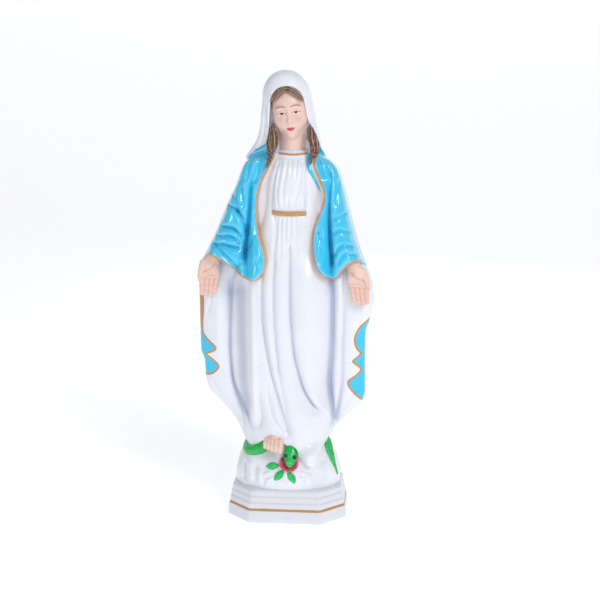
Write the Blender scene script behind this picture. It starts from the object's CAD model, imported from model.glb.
# A hand-painted plastic Madonna on a rock mound and a stepped plinth. The shapes are fields of signed
# distance in millimetres, in the part's frame, that are meshed and then set in metres. Paint is laid on as
# distances stored at the vertices, which the materials turn into brushed edges and lines.
import math

import bpy
import numpy as np
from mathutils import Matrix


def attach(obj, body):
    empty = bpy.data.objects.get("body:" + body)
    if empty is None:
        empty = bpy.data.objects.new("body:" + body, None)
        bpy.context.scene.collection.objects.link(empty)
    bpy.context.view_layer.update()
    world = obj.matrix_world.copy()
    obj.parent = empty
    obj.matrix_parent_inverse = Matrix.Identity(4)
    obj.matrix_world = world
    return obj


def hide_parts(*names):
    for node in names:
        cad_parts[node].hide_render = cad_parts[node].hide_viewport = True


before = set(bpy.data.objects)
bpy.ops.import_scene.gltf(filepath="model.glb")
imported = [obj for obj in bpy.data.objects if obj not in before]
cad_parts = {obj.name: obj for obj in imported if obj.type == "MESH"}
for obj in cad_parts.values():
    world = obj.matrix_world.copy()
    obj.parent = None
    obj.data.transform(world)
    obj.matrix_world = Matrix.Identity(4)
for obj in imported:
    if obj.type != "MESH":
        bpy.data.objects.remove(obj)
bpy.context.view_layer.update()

import openvdb
from mathutils import Vector

MM = 0.001
F = np.float32
COARSE = 1.0
SIDES = {"right": -1, "left": 1}  # the figure's own sides, and the sign of x there
BODY_BOX = ((-67, 65), (37, 253))  # the ranges of x and z that the charts cover
HOOD_BOX = ((-32, 32), (222, 302))
MOUND_BOX = ((-40, 40), (20, 66))
EASE = (0.15, 0.15)  # the share of a fold's length over which it fades in and out
FAR = 9  # a paint mark's value well away from the paint, in mm


# ---------------------------------------------------------------- numbers and curves
def smoothstep(lo, hi, v):
    t = np.clip((v - lo) / (hi - lo), 0, 1)
    return t * t * (3 - 2 * t)


def curve(knots):
    """A smooth curve through (position, value) knots that never overshoots them."""
    k = np.array(knots, F)
    xs, ys = k[:, 0], k[:, 1]
    h = np.diff(xs)
    s = np.diff(ys) / h
    m = np.zeros_like(xs)
    m[0], m[-1] = s[0], s[-1]
    both = s[:-1] * s[1:]
    total = s[:-1] + s[1:]
    m[1:-1] = np.where(both > 0, 2 * both / np.where(total == 0, 1, total), 0)

    def at(v):
        x = np.clip(v, xs[0], xs[-1])
        i = np.clip(np.searchsorted(xs, x, side="right") - 1, 0, len(xs) - 2)
        t = (x - xs[i]) / h[i]
        rise = t * t * (3 - 2 * t)
        bend = m[i] * t * (1 - t) ** 2 - m[i + 1] * t * t * (1 - t)
        return (ys[i] + (ys[i + 1] - ys[i]) * rise + bend * h[i]).astype(F)

    return at


def spline(points, step=1.5, closed=False):
    """Points about step apart along a smooth curve through points."""
    p = np.array(points, float)
    if closed:
        p = np.vstack([p[-1], p, p[0], p[1]])
    else:
        p = np.vstack([2 * p[0] - p[1], p, 2 * p[-1] - p[-2]])
    out = []
    for a, b, c, d in zip(p[:-3], p[1:-2], p[2:-1], p[3:]):
        n = max(2, int(np.ceil(np.linalg.norm(c - b) / step)))
        for t in np.arange(n) / n:
            bend = (2 * a - 5 * b + 4 * c - d) * t**2 + (3 * b - a - 3 * c + d) * t**3
            out.append(0.5 * (2 * b + (c - a) * t + bend))
    if not closed:
        out.append(p[-2])
    return np.array(out)


def line_field(line, x, z):
    """Signed distance in the x, z plane to a line of points, and the share of its length there."""
    line = np.asarray(line, float)
    seg = np.diff(line, axis=0)
    length = np.hypot(seg[:, 0], seg[:, 1])
    start = np.concatenate([[0], np.cumsum(length)])
    best = np.full(x.shape, 1e12, F)
    side = np.ones(x.shape, F)
    share = np.zeros(x.shape, F)
    for i in range(len(seg)):
        (ax, az), (dx, dz) = line[i], seg[i]
        t = np.clip(((x - ax) * dx + (z - az) * dz) / (length[i] ** 2 + 1e-9), 0, 1)
        ex, ez = x - ax - t * dx, z - az - t * dz
        d = ex * ex + ez * ez
        near = d < best
        best = np.where(near, d, best)
        side = np.where(near, np.where(dx * ez - dz * ex > 0, -1, 1), side)
        share = np.where(near, (start[i] + t * length[i]) / start[-1], share)
    return (np.sqrt(best) * side).astype(F), share.astype(F)


def inside_field(outline, x, z):
    """Distance to a closed outline in the x, z plane, positive inside it."""
    ring = np.vstack([outline, outline[:1]])
    d = np.abs(line_field(ring, x, z)[0])
    odd = np.zeros(x.shape, bool)
    for (ax, az), (bx, bz) in zip(ring[:-1], ring[1:]):
        if az == bz:
            continue
        crosses = (z > min(az, bz)) & (z <= max(az, bz))
        odd ^= crosses & (x < ax + (z - az) * (bx - ax) / (bz - az))
    return np.where(odd, d, -d).astype(F)


class Chart:
    """A map of numbers over x and z, read smoothly between its points."""

    def __init__(self, fn, box=BODY_BOX, step=0.35):
        (x0, x1), (z0, z1) = box
        self.origin, self.step = (x0, z0), step
        x = np.arange(x0, x1 + step, step, dtype=F)
        z = np.arange(z0, z1 + step, step, dtype=F)
        self.x, self.z = np.meshgrid(x, z, indexing="ij")
        self.values = np.array(np.broadcast_to(fn(self.x, self.z), self.x.shape), F)

    def __call__(self, x, z):
        nx, nz = self.values.shape
        i = np.clip((x - self.origin[0]) / self.step, 0, nx - 1.001)
        j = np.clip((z - self.origin[1]) / self.step, 0, nz - 1.001)
        a, b = i.astype(np.int32), j.astype(np.int32)
        s, t = (i - a).astype(F), (j - b).astype(F)
        v = self.values
        low = v[a, b] * (1 - s) + v[a + 1, b] * s
        high = v[a, b + 1] * (1 - s) + v[a + 1, b + 1] * s
        return low * (1 - t) + high * t

    def blur(self, rounds=1):
        for _ in range(rounds):
            p = np.pad(self.values, 1, mode="edge")
            across = (p[:-2] + 2 * p[1:-1] + p[2:]) / 4
            self.values = (across[:, :-2] + 2 * across[:, 1:-1] + across[:, 2:]) / 4
        return self

    def fold(self, points, depth, width, ends=EASE, lift=0.0, reach=6.0, sharp=1.4):
        """A crease along a line of points: depth and width may be (start, end) pairs. lift raises the
        surface on the line's right-hand side. A negative depth makes a ridge."""
        line = spline(points, 3.0)
        pad = 3.2 * max(np.ravel(width).max(), reach if lift else 0)
        start, stop = line.min(0) - pad, line.max(0) + pad
        win = tuple(
            slice(int(max(0, (start[i] - at) / self.step)), int(min(n, (stop[i] - at) / self.step + 1)))
            for i, (at, n) in enumerate(zip(self.origin, self.values.shape))
        )
        d, share = line_field(line, self.x[win], self.z[win])
        (d0, d1), (w0, w1) = (np.broadcast_to(np.asarray(v, float), (2,)) for v in (depth, width))
        strength = np.ones_like(share)
        if ends[0]:
            strength *= smoothstep(0, ends[0], share)
        if ends[1]:
            strength *= smoothstep(0, ends[1], 1 - share)
        wide = w0 + (w1 - w0) * share
        self.values[win] -= (d0 + (d1 - d0) * share) * strength * np.exp(-((np.abs(d) / wide) ** sharp))
        if lift:
            self.values[win] += lift * strength * np.exp(-np.abs(d) / reach) * smoothstep(-0.6, 0.6, d)
        return self


# ---------------------------------------------------------------- solids as fields of distance
def smin(a, b, k):
    h = np.clip(0.5 + 0.5 * (b - a) / k, 0, 1)
    return b + (a - b) * h - k * h * (1 - h)


def smax(a, b, k):
    return -smin(-a, -b, k)


def ball(p, centre, radii):
    """An ellipsoid."""
    q = [(p[i] - centre[i]) for i in range(3)]
    r = np.broadcast_to(radii, (3,)).astype(F)
    k0 = np.sqrt(sum((q[i] / r[i]) ** 2 for i in range(3)))
    k1 = np.sqrt(sum((q[i] / r[i] ** 2) ** 2 for i in range(3))) + 1e-6
    return k0 * (k0 - 1) / k1


def rod(p, a, b, ra, rb=None):
    """A rounded rod from a to b with radius ra at a and rb at b."""
    rb = ra if rb is None else rb
    d = [b[i] - a[i] for i in range(3)]
    q = [p[i] - a[i] for i in range(3)]
    t = np.clip(sum(q[i] * d[i] for i in range(3)) / (sum(v * v for v in d) + 1e-9), 0, 1)
    return np.sqrt(sum((q[i] - t * d[i]) ** 2 for i in range(3))) - (ra + (rb - ra) * t)


def limb(p, stations, k=0.8):
    """Rounded rods through stations of (x, y, z, radius), run together."""
    out = None
    for s, e in zip(stations[:-1], stations[1:]):
        f = rod(p, s[:3], e[:3], s[3], e[3])
        out = f if out is None else smin(out, f, k)
    return out


def turn(axis, degrees):
    a = math.radians(degrees)
    c, s = math.cos(a), math.sin(a)
    i, j = {"x": (1, 2), "y": (2, 0), "z": (0, 1)}[axis]
    m = np.eye(3)
    m[i, i] = m[j, j] = c
    m[i, j], m[j, i] = -s, s
    return m


def local(p, origin, matrix):
    """Points seen from a frame at origin whose axes are the matrix's columns."""
    q = [p[i] - origin[i] for i in range(3)]
    return tuple(sum(F(matrix[j, i]) * q[j] for j in range(3)) for i in range(3))


BLOCK = 8  # cells along the side of a block
NEAR_BLOCKS = 1.45  # a block is filled in when the surface may be within this many blocks of its middle
BATCH = 1500  # blocks worked out at a time


def mesh_field(fn, lo, hi, cell):
    """The surface where fn is 0, as points and quads in millimetres. Only blocks near it are filled in."""
    lo, hi = np.array(lo, float), np.array(hi, float)
    span, band = cell * BLOCK, 3 * cell
    blocks = np.ceil((hi - lo) / span).astype(int)
    lattice = lambda axes: np.stack(np.meshgrid(*axes, indexing="ij"), -1).reshape(-1, 3)
    centres = lattice([lo[i] + span * (np.arange(blocks[i]) + 0.5) - cell / 2 for i in range(3)]).astype(F)
    rough = fn(tuple(centres.T))
    fill = np.where(rough > 0, band, -band).astype(F).reshape(blocks)
    dense = np.repeat(np.repeat(np.repeat(fill, BLOCK, 0), BLOCK, 1), BLOCK, 2)
    near = np.flatnonzero(np.abs(rough) < span * NEAR_BLOCKS)
    offset = lattice([np.arange(BLOCK)] * 3)
    index = np.stack(np.unravel_index(near, blocks), -1) * BLOCK
    for part in np.array_split(np.arange(len(near)), max(1, len(near) // BATCH)):
        at = (index[part][:, None, :] + offset[None]).reshape(-1, 3)
        p = (lo + at * cell).astype(F)
        dense[tuple(at.T)] = np.clip(fn(tuple(p.T)), -band, band)
    for face in (0, -1):
        dense[face] = dense[:, face] = dense[:, :, face] = band
    grid = openvdb.FloatGrid(background=band)
    grid.copyFromArray(dense)
    points, quads = grid.convertToQuads(isovalue=0)
    points = (lo + points.astype(float) * cell).astype(F)
    eps = F(0.3 * cell)
    for _ in range(2):  # pull each point onto the surface
        f = fn(tuple(points.T))
        slope = np.empty_like(points)
        for i in range(3):
            moved = points.copy()
            moved[:, i] += eps
            slope[:, i] = (fn(tuple(moved.T)) - f) / eps
        size = np.maximum((slope**2).sum(1), 0.05)
        move = -(f / size)[:, None] * slope
        reach = np.linalg.norm(move, axis=1, keepdims=True)
        points = points + move * np.minimum(1, 0.6 * cell / np.maximum(reach, 1e-6))
    return points, quads


def add_object(name, data):
    obj = bpy.data.objects.new(name, data)
    bpy.context.scene.collection.objects.link(obj)
    return obj


SLOTS = {"white_gown": "white_plastic", "white_plinth": "white_plastic", "face_paint": "skin_paint"}


def place(name, points, faces, material, marks=None, node=None):
    """Makes a piece of the object, in place of a CAD node, from points in millimetres."""
    mesh = bpy.data.meshes.new(name)
    mesh.from_pydata(np.asarray(points, float) * MM, [], faces)
    mesh.validate()
    mesh.shade_smooth()
    for key, values in (marks or {}).items():
        mesh.attributes.new(key, "FLOAT", "POINT").data.foreach_set("value", np.asarray(values, F))
    obj = add_object(name, mesh)
    obj.data.materials.append(material)
    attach(obj, "root")
    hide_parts(node or name)
    slot = material.name.split(".")[0]
    SLOTS.get(slot, slot)


def carve(name, fn, lo, hi, cell, material, paint=None, node=None):
    """A piece from a field. paint maps an attribute name to a function of the points."""
    points, quads = mesh_field(fn, lo, hi, cell * COARSE)
    p = tuple(points.T)
    place(name, points, quads.tolist(), material, {key: mark(p) for key, mark in (paint or {}).items()},
        node)


# ---------------------------------------------------------------- materials
def srgb(*rgb):
    return tuple(((c / 255 + 0.055) / 1.055) ** 2.4 if c > 10 else c / 255 / 12.92 for c in rgb) + (1.0,)


WHITE = srgb(238, 241, 250)
BLUE = srgb(56, 204, 246)
GOLD = srgb(196, 148, 92)
CREAM = srgb(232, 226, 216)
SKIN = srgb(240, 207, 195)
HAIR = srgb(98, 64, 46)
HAIR_LIGHT = srgb(214, 180, 156)
GREEN = srgb(10, 192, 84)
ROSE = srgb(204, 66, 98)
BLACK = srgb(22, 18, 22)


class Shader:
    """A Principled material built up in layers of paint over a ground colour."""

    def __init__(self, name, colour, rough=0.3, coat=0.0):
        self.material = bpy.data.materials.new(name)
        self.material.use_nodes = True
        self.tree = self.material.node_tree
        self.tree.nodes.clear()
        self.out = self.add("ShaderNodeOutputMaterial")
        self.bsdf = self.add("ShaderNodeBsdfPrincipled")
        self.link(self.bsdf.outputs[0], self.out.inputs[0])
        self.place = self.add("ShaderNodeTexCoord").outputs["Object"]
        self.bsdf.inputs["Coat Weight"].default_value = coat
        self.bsdf.inputs["Coat Roughness"].default_value = 0.12
        self.colour = colour
        self.rough = rough
        self.height = None

    def add(self, kind, **settings):
        n = self.tree.nodes.new(kind)
        for key, value in settings.items():
            setattr(n, key, value)
        return n

    def link(self, a, b):
        self.tree.links.new(a, b)

    def feed(self, value, socket):
        """Sets a socket to a number or a colour, or links another socket to it."""
        if isinstance(value, (int, float, tuple)):
            socket.default_value = value
        else:
            self.link(value, socket)

    def noise(self, size_mm, detail=3.0, stretch=(1, 1, 1), rough=0.5, distort=0.0):
        """Noise from 0 to 1 whose blobs are about size_mm across."""
        m = self.add("ShaderNodeMapping")
        m.inputs["Scale"].default_value = stretch
        self.link(self.place, m.inputs["Vector"])
        n = self.add("ShaderNodeTexNoise")
        n.inputs["Scale"].default_value = 1 / (size_mm * MM)
        n.inputs["Detail"].default_value = detail
        n.inputs["Roughness"].default_value = rough
        n.inputs["Distortion"].default_value = distort
        self.link(m.outputs[0], n.inputs["Vector"])
        return n.outputs["Fac"]

    def math(self, op, a, b=None, clamp=False):
        n = self.add("ShaderNodeMath", operation=op, use_clamp=clamp)
        self.feed(a, n.inputs[0])
        if b is not None:
            self.feed(b, n.inputs[1])
        return n.outputs[0]

    def ramp(self, value, lo, hi, out=(0.0, 1.0), smooth=True):
        n = self.add("ShaderNodeMapRange")
        n.interpolation_type = "SMOOTHSTEP" if smooth else "LINEAR"
        self.link(value, n.inputs["Value"])
        for key, v in zip(("From Min", "From Max", "To Min", "To Max"), (lo, hi, *out)):
            n.inputs[key].default_value = v
        return n.outputs[0]

    def mark(self, key):
        return self.add("ShaderNodeAttribute", attribute_name=key, attribute_type="GEOMETRY").outputs["Fac"]

    def mask(self, key, at=0.0, soft=0.12, wobble=0.0, size=2.0, absolute=False):
        """1 where the mark is under at, with a brushed edge soft mm wide."""
        v = self.mark(key)
        if absolute:
            v = self.math("ABSOLUTE", v)
        if wobble:
            sway = self.math("SUBTRACT", self.noise(size), 0.5)
            v = self.math("ADD", v, self.math("MULTIPLY", sway, 2 * wobble))
        return self.ramp(v, at + soft, at - soft)

    def coat(self, mask, colour, rough=None, strength=1.0):
        """Lays a colour over what is there, where mask is 1."""
        n = self.add("ShaderNodeMix", data_type="RGBA")
        if strength != 1.0:
            mask = self.math("MULTIPLY", mask, strength)
        self.link(mask, n.inputs["Factor"])
        self.feed(self.colour, n.inputs["A"])
        self.feed(colour, n.inputs["B"])
        self.colour = n.outputs["Result"]
        if rough is not None:
            m = self.add("ShaderNodeMix", data_type="FLOAT")
            self.link(mask, m.inputs["Factor"])
            self.feed(self.rough, m.inputs["A"])
            self.feed(rough, m.inputs["B"])
            self.rough = m.outputs["Result"]
        return self

    def mottle(self, size_mm, detail, lo, hi, most, colour):
        """Lays a colour on in cloudy spots, at most this strongly."""
        return self.coat(self.ramp(self.noise(size_mm, detail), lo, hi, (0, most)), colour)

    def relief(self, value, mm):
        """Adds a height in millimetres."""
        v = self.math("MULTIPLY", value, mm * MM)
        self.height = v if self.height is None else self.math("ADD", self.height, v)
        return self

    def finish(self, skin_mm=0.012, vary=0.05):
        """Mottled colour, uneven gloss and the fine skin of a moulded and painted surface."""
        self.mottle(14, 4, 0.42, 0.78, vary, srgb(150, 160, 180))
        base, least, most = self.rough, -0.05, 0.07
        wear = self.ramp(self.noise(5, 5, rough=0.65), 0.3, 0.75, (least, most))
        if isinstance(base, float):
            rough = self.ramp(wear, least, most, (base + least, base + most), smooth=False)
        else:
            rough = self.math("ADD", base, wear, clamp=True)
        self.link(rough, self.bsdf.inputs["Roughness"])
        self.relief(self.noise(0.9, 3), skin_mm)
        self.relief(self.noise(7, 2), 0.05)
        bump = self.add("ShaderNodeBump")
        bump.inputs["Strength"].default_value = 1.0
        bump.inputs["Distance"].default_value = 1.0
        self.link(self.height, bump.inputs["Height"])
        self.link(bump.outputs[0], self.bsdf.inputs["Normal"])
        self.link(self.colour, self.bsdf.inputs["Base Color"])
        return self.material


SPECK_SPACING, SPECK_SIZE, SPECK_EDGE = 9.6, 0.012, 0.012  # in mm, then in shares of the spacing


def specks(shader):
    """Tiny dark specks, as in cheap white plastic."""
    v = shader.add("ShaderNodeTexVoronoi", feature="F1")
    v.inputs["Scale"].default_value = 1 / (SPECK_SPACING * MM)
    shader.link(shader.place, v.inputs["Vector"])
    spot = shader.ramp(v.outputs["Distance"], SPECK_SIZE + SPECK_EDGE, SPECK_SIZE)
    return shader.coat(spot, srgb(96, 84, 80))


def cavity(shader, colour, lo=0.15, hi=1.6, strength=0.5):
    """Darkens what lies deeper than its surroundings."""
    return shader.coat(shader.ramp(shader.mark("deep"), lo, hi), colour, strength=strength)


def make_white():
    s = Shader("white_plastic", WHITE, rough=0.30, coat=0.15)
    cavity(s, srgb(150, 168, 205), strength=0.42)
    return specks(s).finish()


def make_gown():
    s = Shader("white_gown", WHITE, rough=0.32, coat=0.15)
    cavity(s, srgb(158, 170, 200), 0.1, 3.0, strength=0.6)
    specks(s)
    s.coat(s.mask("patch", 0.0, 0.25, 0.35), BLUE, rough=0.2)
    s.coat(s.mask("strip", 0.0, 0.25, 0.35), GOLD, rough=0.36)
    s.coat(s.mask("patch", 0.75, 0.16, 0.25, absolute=True), GOLD, rough=0.36)
    s.coat(s.mask("collar", 0.72, 0.16, 0.2), GOLD, rough=0.36)
    return s.finish()


def make_blue():
    s = Shader("blue_paint", BLUE, rough=0.13, coat=1.0)
    streak = s.noise(4, 4, stretch=(1, 1, 0.25), rough=0.6)
    s.coat(s.ramp(streak, 0.45, 0.8, (0, 0.35)), srgb(96, 208, 244))
    cavity(s, srgb(10, 112, 160), 0.2, 2.0, 0.6)
    s.coat(s.ramp(s.mark("deep"), -0.25, -1.4), srgb(120, 214, 244), strength=0.35)
    s.coat(s.mask("seam", 0.35, 0.2, 0.15), srgb(186, 226, 242))
    s.coat(s.mask("trim", 1.05, 0.2, 0.25, absolute=True), GOLD, rough=0.34)
    s.coat(s.mask("cream", 0.75, 0.2, 0.2), CREAM)
    return s.finish(skin_mm=0.02)


# ---------------------------------------------------------------- veil
HEAD_AT = (1.9, -4.4, 272.5)
HEAD_TURN = turn("y", -7) @ turn("x", 6)
CROWN, TOP = 282.0, 299.9
VEIL_HEIGHTS = (229, 236, 243, 249, 256, 264, 273, 282)
veil_x0, veil_x1, veil_y0, veil_y1 = (
    curve(list(zip(VEIL_HEIGHTS, values)))
    for values in (
        (-17, -26, -29, -25, -20.8, -18.8, -17.8, -16.8),
        (17, 26, 27, 23.4, 21, 19.2, 17.8, 15.8),
        (8, -4, -9.4, -11.2, -13, -14.5, -15.8, -16.6),
        (22.3, 22.3, 21, 19, 18, 17.5, 17, 16),
    )
)
FACE_OPENING = spline([
    (-14, 222), (-12.6, 240), (-11.6, 252), (-11.4, 265), (-10.8, 275), (-9.4, 282.6), (-5.4, 287.2),
    (0.2, 288.9), (5.0, 287.7), (8.6, 284.9), (11.0, 280), (12.6, 272), (14.0, 266.2), (17.0, 261),
    (19.6, 255), (21.5, 248), (22, 240), (22, 222),
])
OPENING = Chart(lambda x, z: inside_field(FACE_OPENING, x, z), HOOD_BOX)
HOOD_FOLDS = Chart(lambda x, z: np.zeros_like(x), HOOD_BOX)
for points, depth, width in [
    ([(-12.2, 284), (-13.8, 276), (-14, 267), (-15.8, 257), (-19.5, 249)], 0.9, 0.9),
    ([(-16.2, 280), (-16.4, 268), (-18.2, 257), (-22.4, 248)], -0.5, 1.3),
    ([(12.5, 286), (15.6, 276), (17, 266), (18.6, 256)], 0.6, 0.9),
    ([(-12, 291), (-3, 295.4), (8, 292)], -0.3, 2.0),
]:
    HOOD_FOLDS.fold(points, depth, width, ends=(0.3, 0.1))
LINING_AT = 4.2  # how far in front of the parting plane the veil's lining stands beside the face
HOOD_PLEATS = [(-13, 0.9), (-8.5, 1.1), (-3, 1.0), (3, 1.2), (8.5, 1.0), (13.5, 0.9)]
VEIL_HEM = np.array([
    (-34, 240), (-29, 243.4), (-24, 246.6), (-19, 249.7), (-14.4, 252.4), (-11.8, 253.6), (-10.6, 246.6),
    (19, 246.6),
    (20.4, 252), (24, 251), (30, 247),
])


def hood_field(p):
    """The smooth form of the head and shoulders under the veil's outer face."""
    x, y, z = p
    x0, x1, y0, y1 = veil_x0(z), veil_x1(z), veil_y0(z), veil_y1(z)
    q = ((x - (x0 + x1) / 2), (y - (y0 + y1) / 2))
    rx, ry = (x1 - x0) / 2, (y1 - y0) / 2
    k0 = np.sqrt((q[0] / rx) ** 2 + (q[1] / ry) ** 2)
    k1 = np.sqrt((q[0] / rx**2) ** 2 + (q[1] / ry**2) ** 2) + 1e-6
    rings = k0 * (k0 - 1) / k1 * 0.85
    up = np.maximum(z - CROWN, 0)
    crown = ball((x + 0.06 * up, y, z), (-0.5, -0.3, CROWN), (16.3, 16.3, TOP - CROWN))
    return np.where(z > CROWN, crown, rings)


def veil_hem(x, y):
    """Height of the veil's lower edge: high in front, hanging to the shoulder blades behind."""
    front = np.interp(x, VEIL_HEM[:, 0], VEIL_HEM[:, 1])
    behind = 231 + np.cos(x * 0.55) + 0.014 * x * x
    drawn_up = smoothstep(12, 20, x)
    t = smoothstep(0, 1, (y + 3 - 10 * drawn_up) / 12)
    return front * (1 - t) + behind * t


def veil_field(p):
    x, y, z = p
    f = hood_field(p) + HOOD_FOLDS(x, z) * -smoothstep(2, -6, y)
    behind = smoothstep(3, 11, y) * smoothstep(286, 262, z)
    for at, depth in HOOD_PLEATS:
        f = f + depth * behind * np.exp(-(((x - at * (1 + (286 - z) / 95)) / 1.6) ** 2))
    f = smax(f, np.minimum(OPENING(x, z), -(y + LINING_AT)), 1.5)
    return smax(f, (veil_hem(x, y) - z) * 0.8, 0.9)


def veil_deep(p):
    x, y, z = p
    pleats = sum(d * np.exp(-(((x - at * (1 + (286 - z) / 95)) / 1.9) ** 2)) for at, d in HOOD_PLEATS)
    lining = np.clip(-0.25 * hood_field(p) - 0.5, 0, 0.7)
    return pleats * smoothstep(3, 11, y) * smoothstep(286, 262, z) + lining


def shoulder_field(p, under=1.4):
    """The mantle where it rises under the veil to the collar, outside the opening for the face."""
    x, y, z = p
    f = np.maximum(np.maximum(hood_field(p) + under, z - 255.5), 236 - z)
    return np.maximum(f, np.minimum(OPENING(x, z) + 1.5, -(y - 4)))


# ---------------------------------------------------------------- the body
right_side = curve([
    (41, 27), (49, 29.6), (60, 34), (68, 39.4), (78, 48), (86, 55.2), (94, 57.2), (105, 57.8), (113, 60.3),
    (142, 60.6), (158, 60.8), (170, 59.8), (180, 55.8), (193, 49.2), (210, 42), (226, 34.6), (241, 28),
    (245, 17), (248, 6.2),
])
left_side = curve([
    (41, 26), (51, 28.7), (61, 32.6), (66, 38), (72, 44), (80, 51), (86, 52.4), (111, 52.1), (127, 52.4),
    (135, 54.9), (150, 57.3), (158, 57), (166, 55), (176, 50.6), (188, 46.4), (203, 42.4), (224, 37.2),
    (238, 32), (245, 22), (248, 14.6),
])
lining_depth = curve([(41, 8), (80, 9), (160, 9), (200, 10), (235, 11), (245, 9.5), (248, 8.8)])
back_depth = curve([
    (41, 20), (60, 24), (100, 26), (150, 24), (200, 20.5), (225, 20), (236, 20.4), (243, 19), (248, 15),
])
gown_middle = curve([(41, 0), (70, 0), (95, -4.2), (160, -3.6), (208, 2.8), (248, 4.6)])
gown_half = curve([
    (41, 28), (66, 29.5), (80, 31.5), (95, 33), (120, 34.6), (160, 33.5), (180, 26), (208, 17), (228, 16),
    (248, 9),
])
gown_height = curve([
    (41, 17), (60, 18), (90, 16), (130, 15), (170, 11), (200, 6.5), (208, 5.2), (222, 7.8), (238, 4),
    (248, 0),
])
front_hem = curve([
    (-36, 51), (-30, 48.8), (-26.8, 48.4), (-23.5, 49.2), (-16.9, 54.0), (-9.8, 59.2), (-2.7, 55.4),
    (3.9, 51.6), (8.8, 45.8), (13.0, 41.8), (16.6, 39.6), (17.8, 39.6), (19.8, 42.2), (22.6, 46.6),
    (25.4, 50.8), (29.6, 55.6), (36, 62),
])
back_hem = curve([
    (-36, 68), (-30, 60), (-23, 49), (-10, 46.5), (0, 47.5), (14, 45.5), (23, 49), (29, 58), (36, 70),
])
HEM_LEVEL = (-22.0, 21.0)  # beyond these the gold on the back hem runs level round the sides
COLLAR_TOP = 248.4


def edges(z):
    half = (right_side(z) + left_side(z)) / 2
    return half, (left_side(z) - right_side(z)) / 2


def round_off(t, power):
    return (1 - np.minimum(np.abs(t), 1) ** power) ** (1 / power)


def plain_front(x, z):
    """Depth of the body in front of the parting plane, without its folds."""
    half, middle = edges(z)
    u = (x - middle) / half
    t = np.abs(x - gown_middle(z)) / gown_half(z)
    gown = gown_height(z) * (1 - np.minimum(t, 1) ** 2.4) ** 0.75
    return lining_depth(z) * round_off(u, 2.5) + gown - np.maximum(np.abs(u) - 1, 0) * half * 2


def plain_back(x, z):
    half, middle = edges(z)
    u = (x - middle) / (half * 0.99)
    return back_depth(z) * round_off(u, 2.2) - np.maximum(np.abs(u) - 1, 0) * half * 2


def slope_of(chart):
    gx, gz = np.gradient(chart.values, chart.step)
    return Chart(lambda x, z: np.clip(np.sqrt(1 + gx**2 + gz**2), 1, 7)).blur(2)


def deep_of(chart, rounds=60):
    """How far each place lies below the average of its surroundings."""
    soft = Chart(lambda x, z: chart.values).blur(rounds)
    return Chart(lambda x, z: soft.values - chart.values)


FRONT = Chart(plain_front)
# Valley lines down the gown, as x at a height, and how far the cloth crowns between each two of them.
VALLEYS = [
    [(40, -34), (60, -35), (66, -38), (78, -47), (86, -55), (113, -60), (158, -60.6), (180, -56)],
    [(50, -22), (62, -23.6), (69, -25.6), (82.6, -32.8), (96, -37.6), (121, -39.6), (140, -39.2),
        (180, -38)],
    [(56, 3.6), (68, 0.7), (81, -3.1), (100, -8.6), (124, -13.2), (143, -15.2), (180, -15.6)],
    [(56, 4.6), (70, 1.6), (82, -0.6), (98, -3.7), (115, -5.6), (143, -7.6), (180, -7.9)],
    [(56, 30), (72, 27), (75.5, 24), (80.3, 18.7), (86, 15), (94.5, 11.2), (115, 6.1), (139, 3.8),
        (180, 2.8)],
    [(50, 31), (66, 31.4), (78, 29.6), (94, 28), (123, 29.6), (156, 29.8), (180, 27.5)],
    [(50, 31.6), (66, 32.4), (78, 34.4), (92, 36.6), (114, 36.8), (152, 37.6), (180, 37.6)],
    [(40, 31), (60, 32), (72, 44), (84, 52), (127, 52.4), (150, 57), (180, 52)],
]
CROWNS = [1.8, 0.0, 2.2, 2.6, 4.2, 2.4, 1.6]
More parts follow.
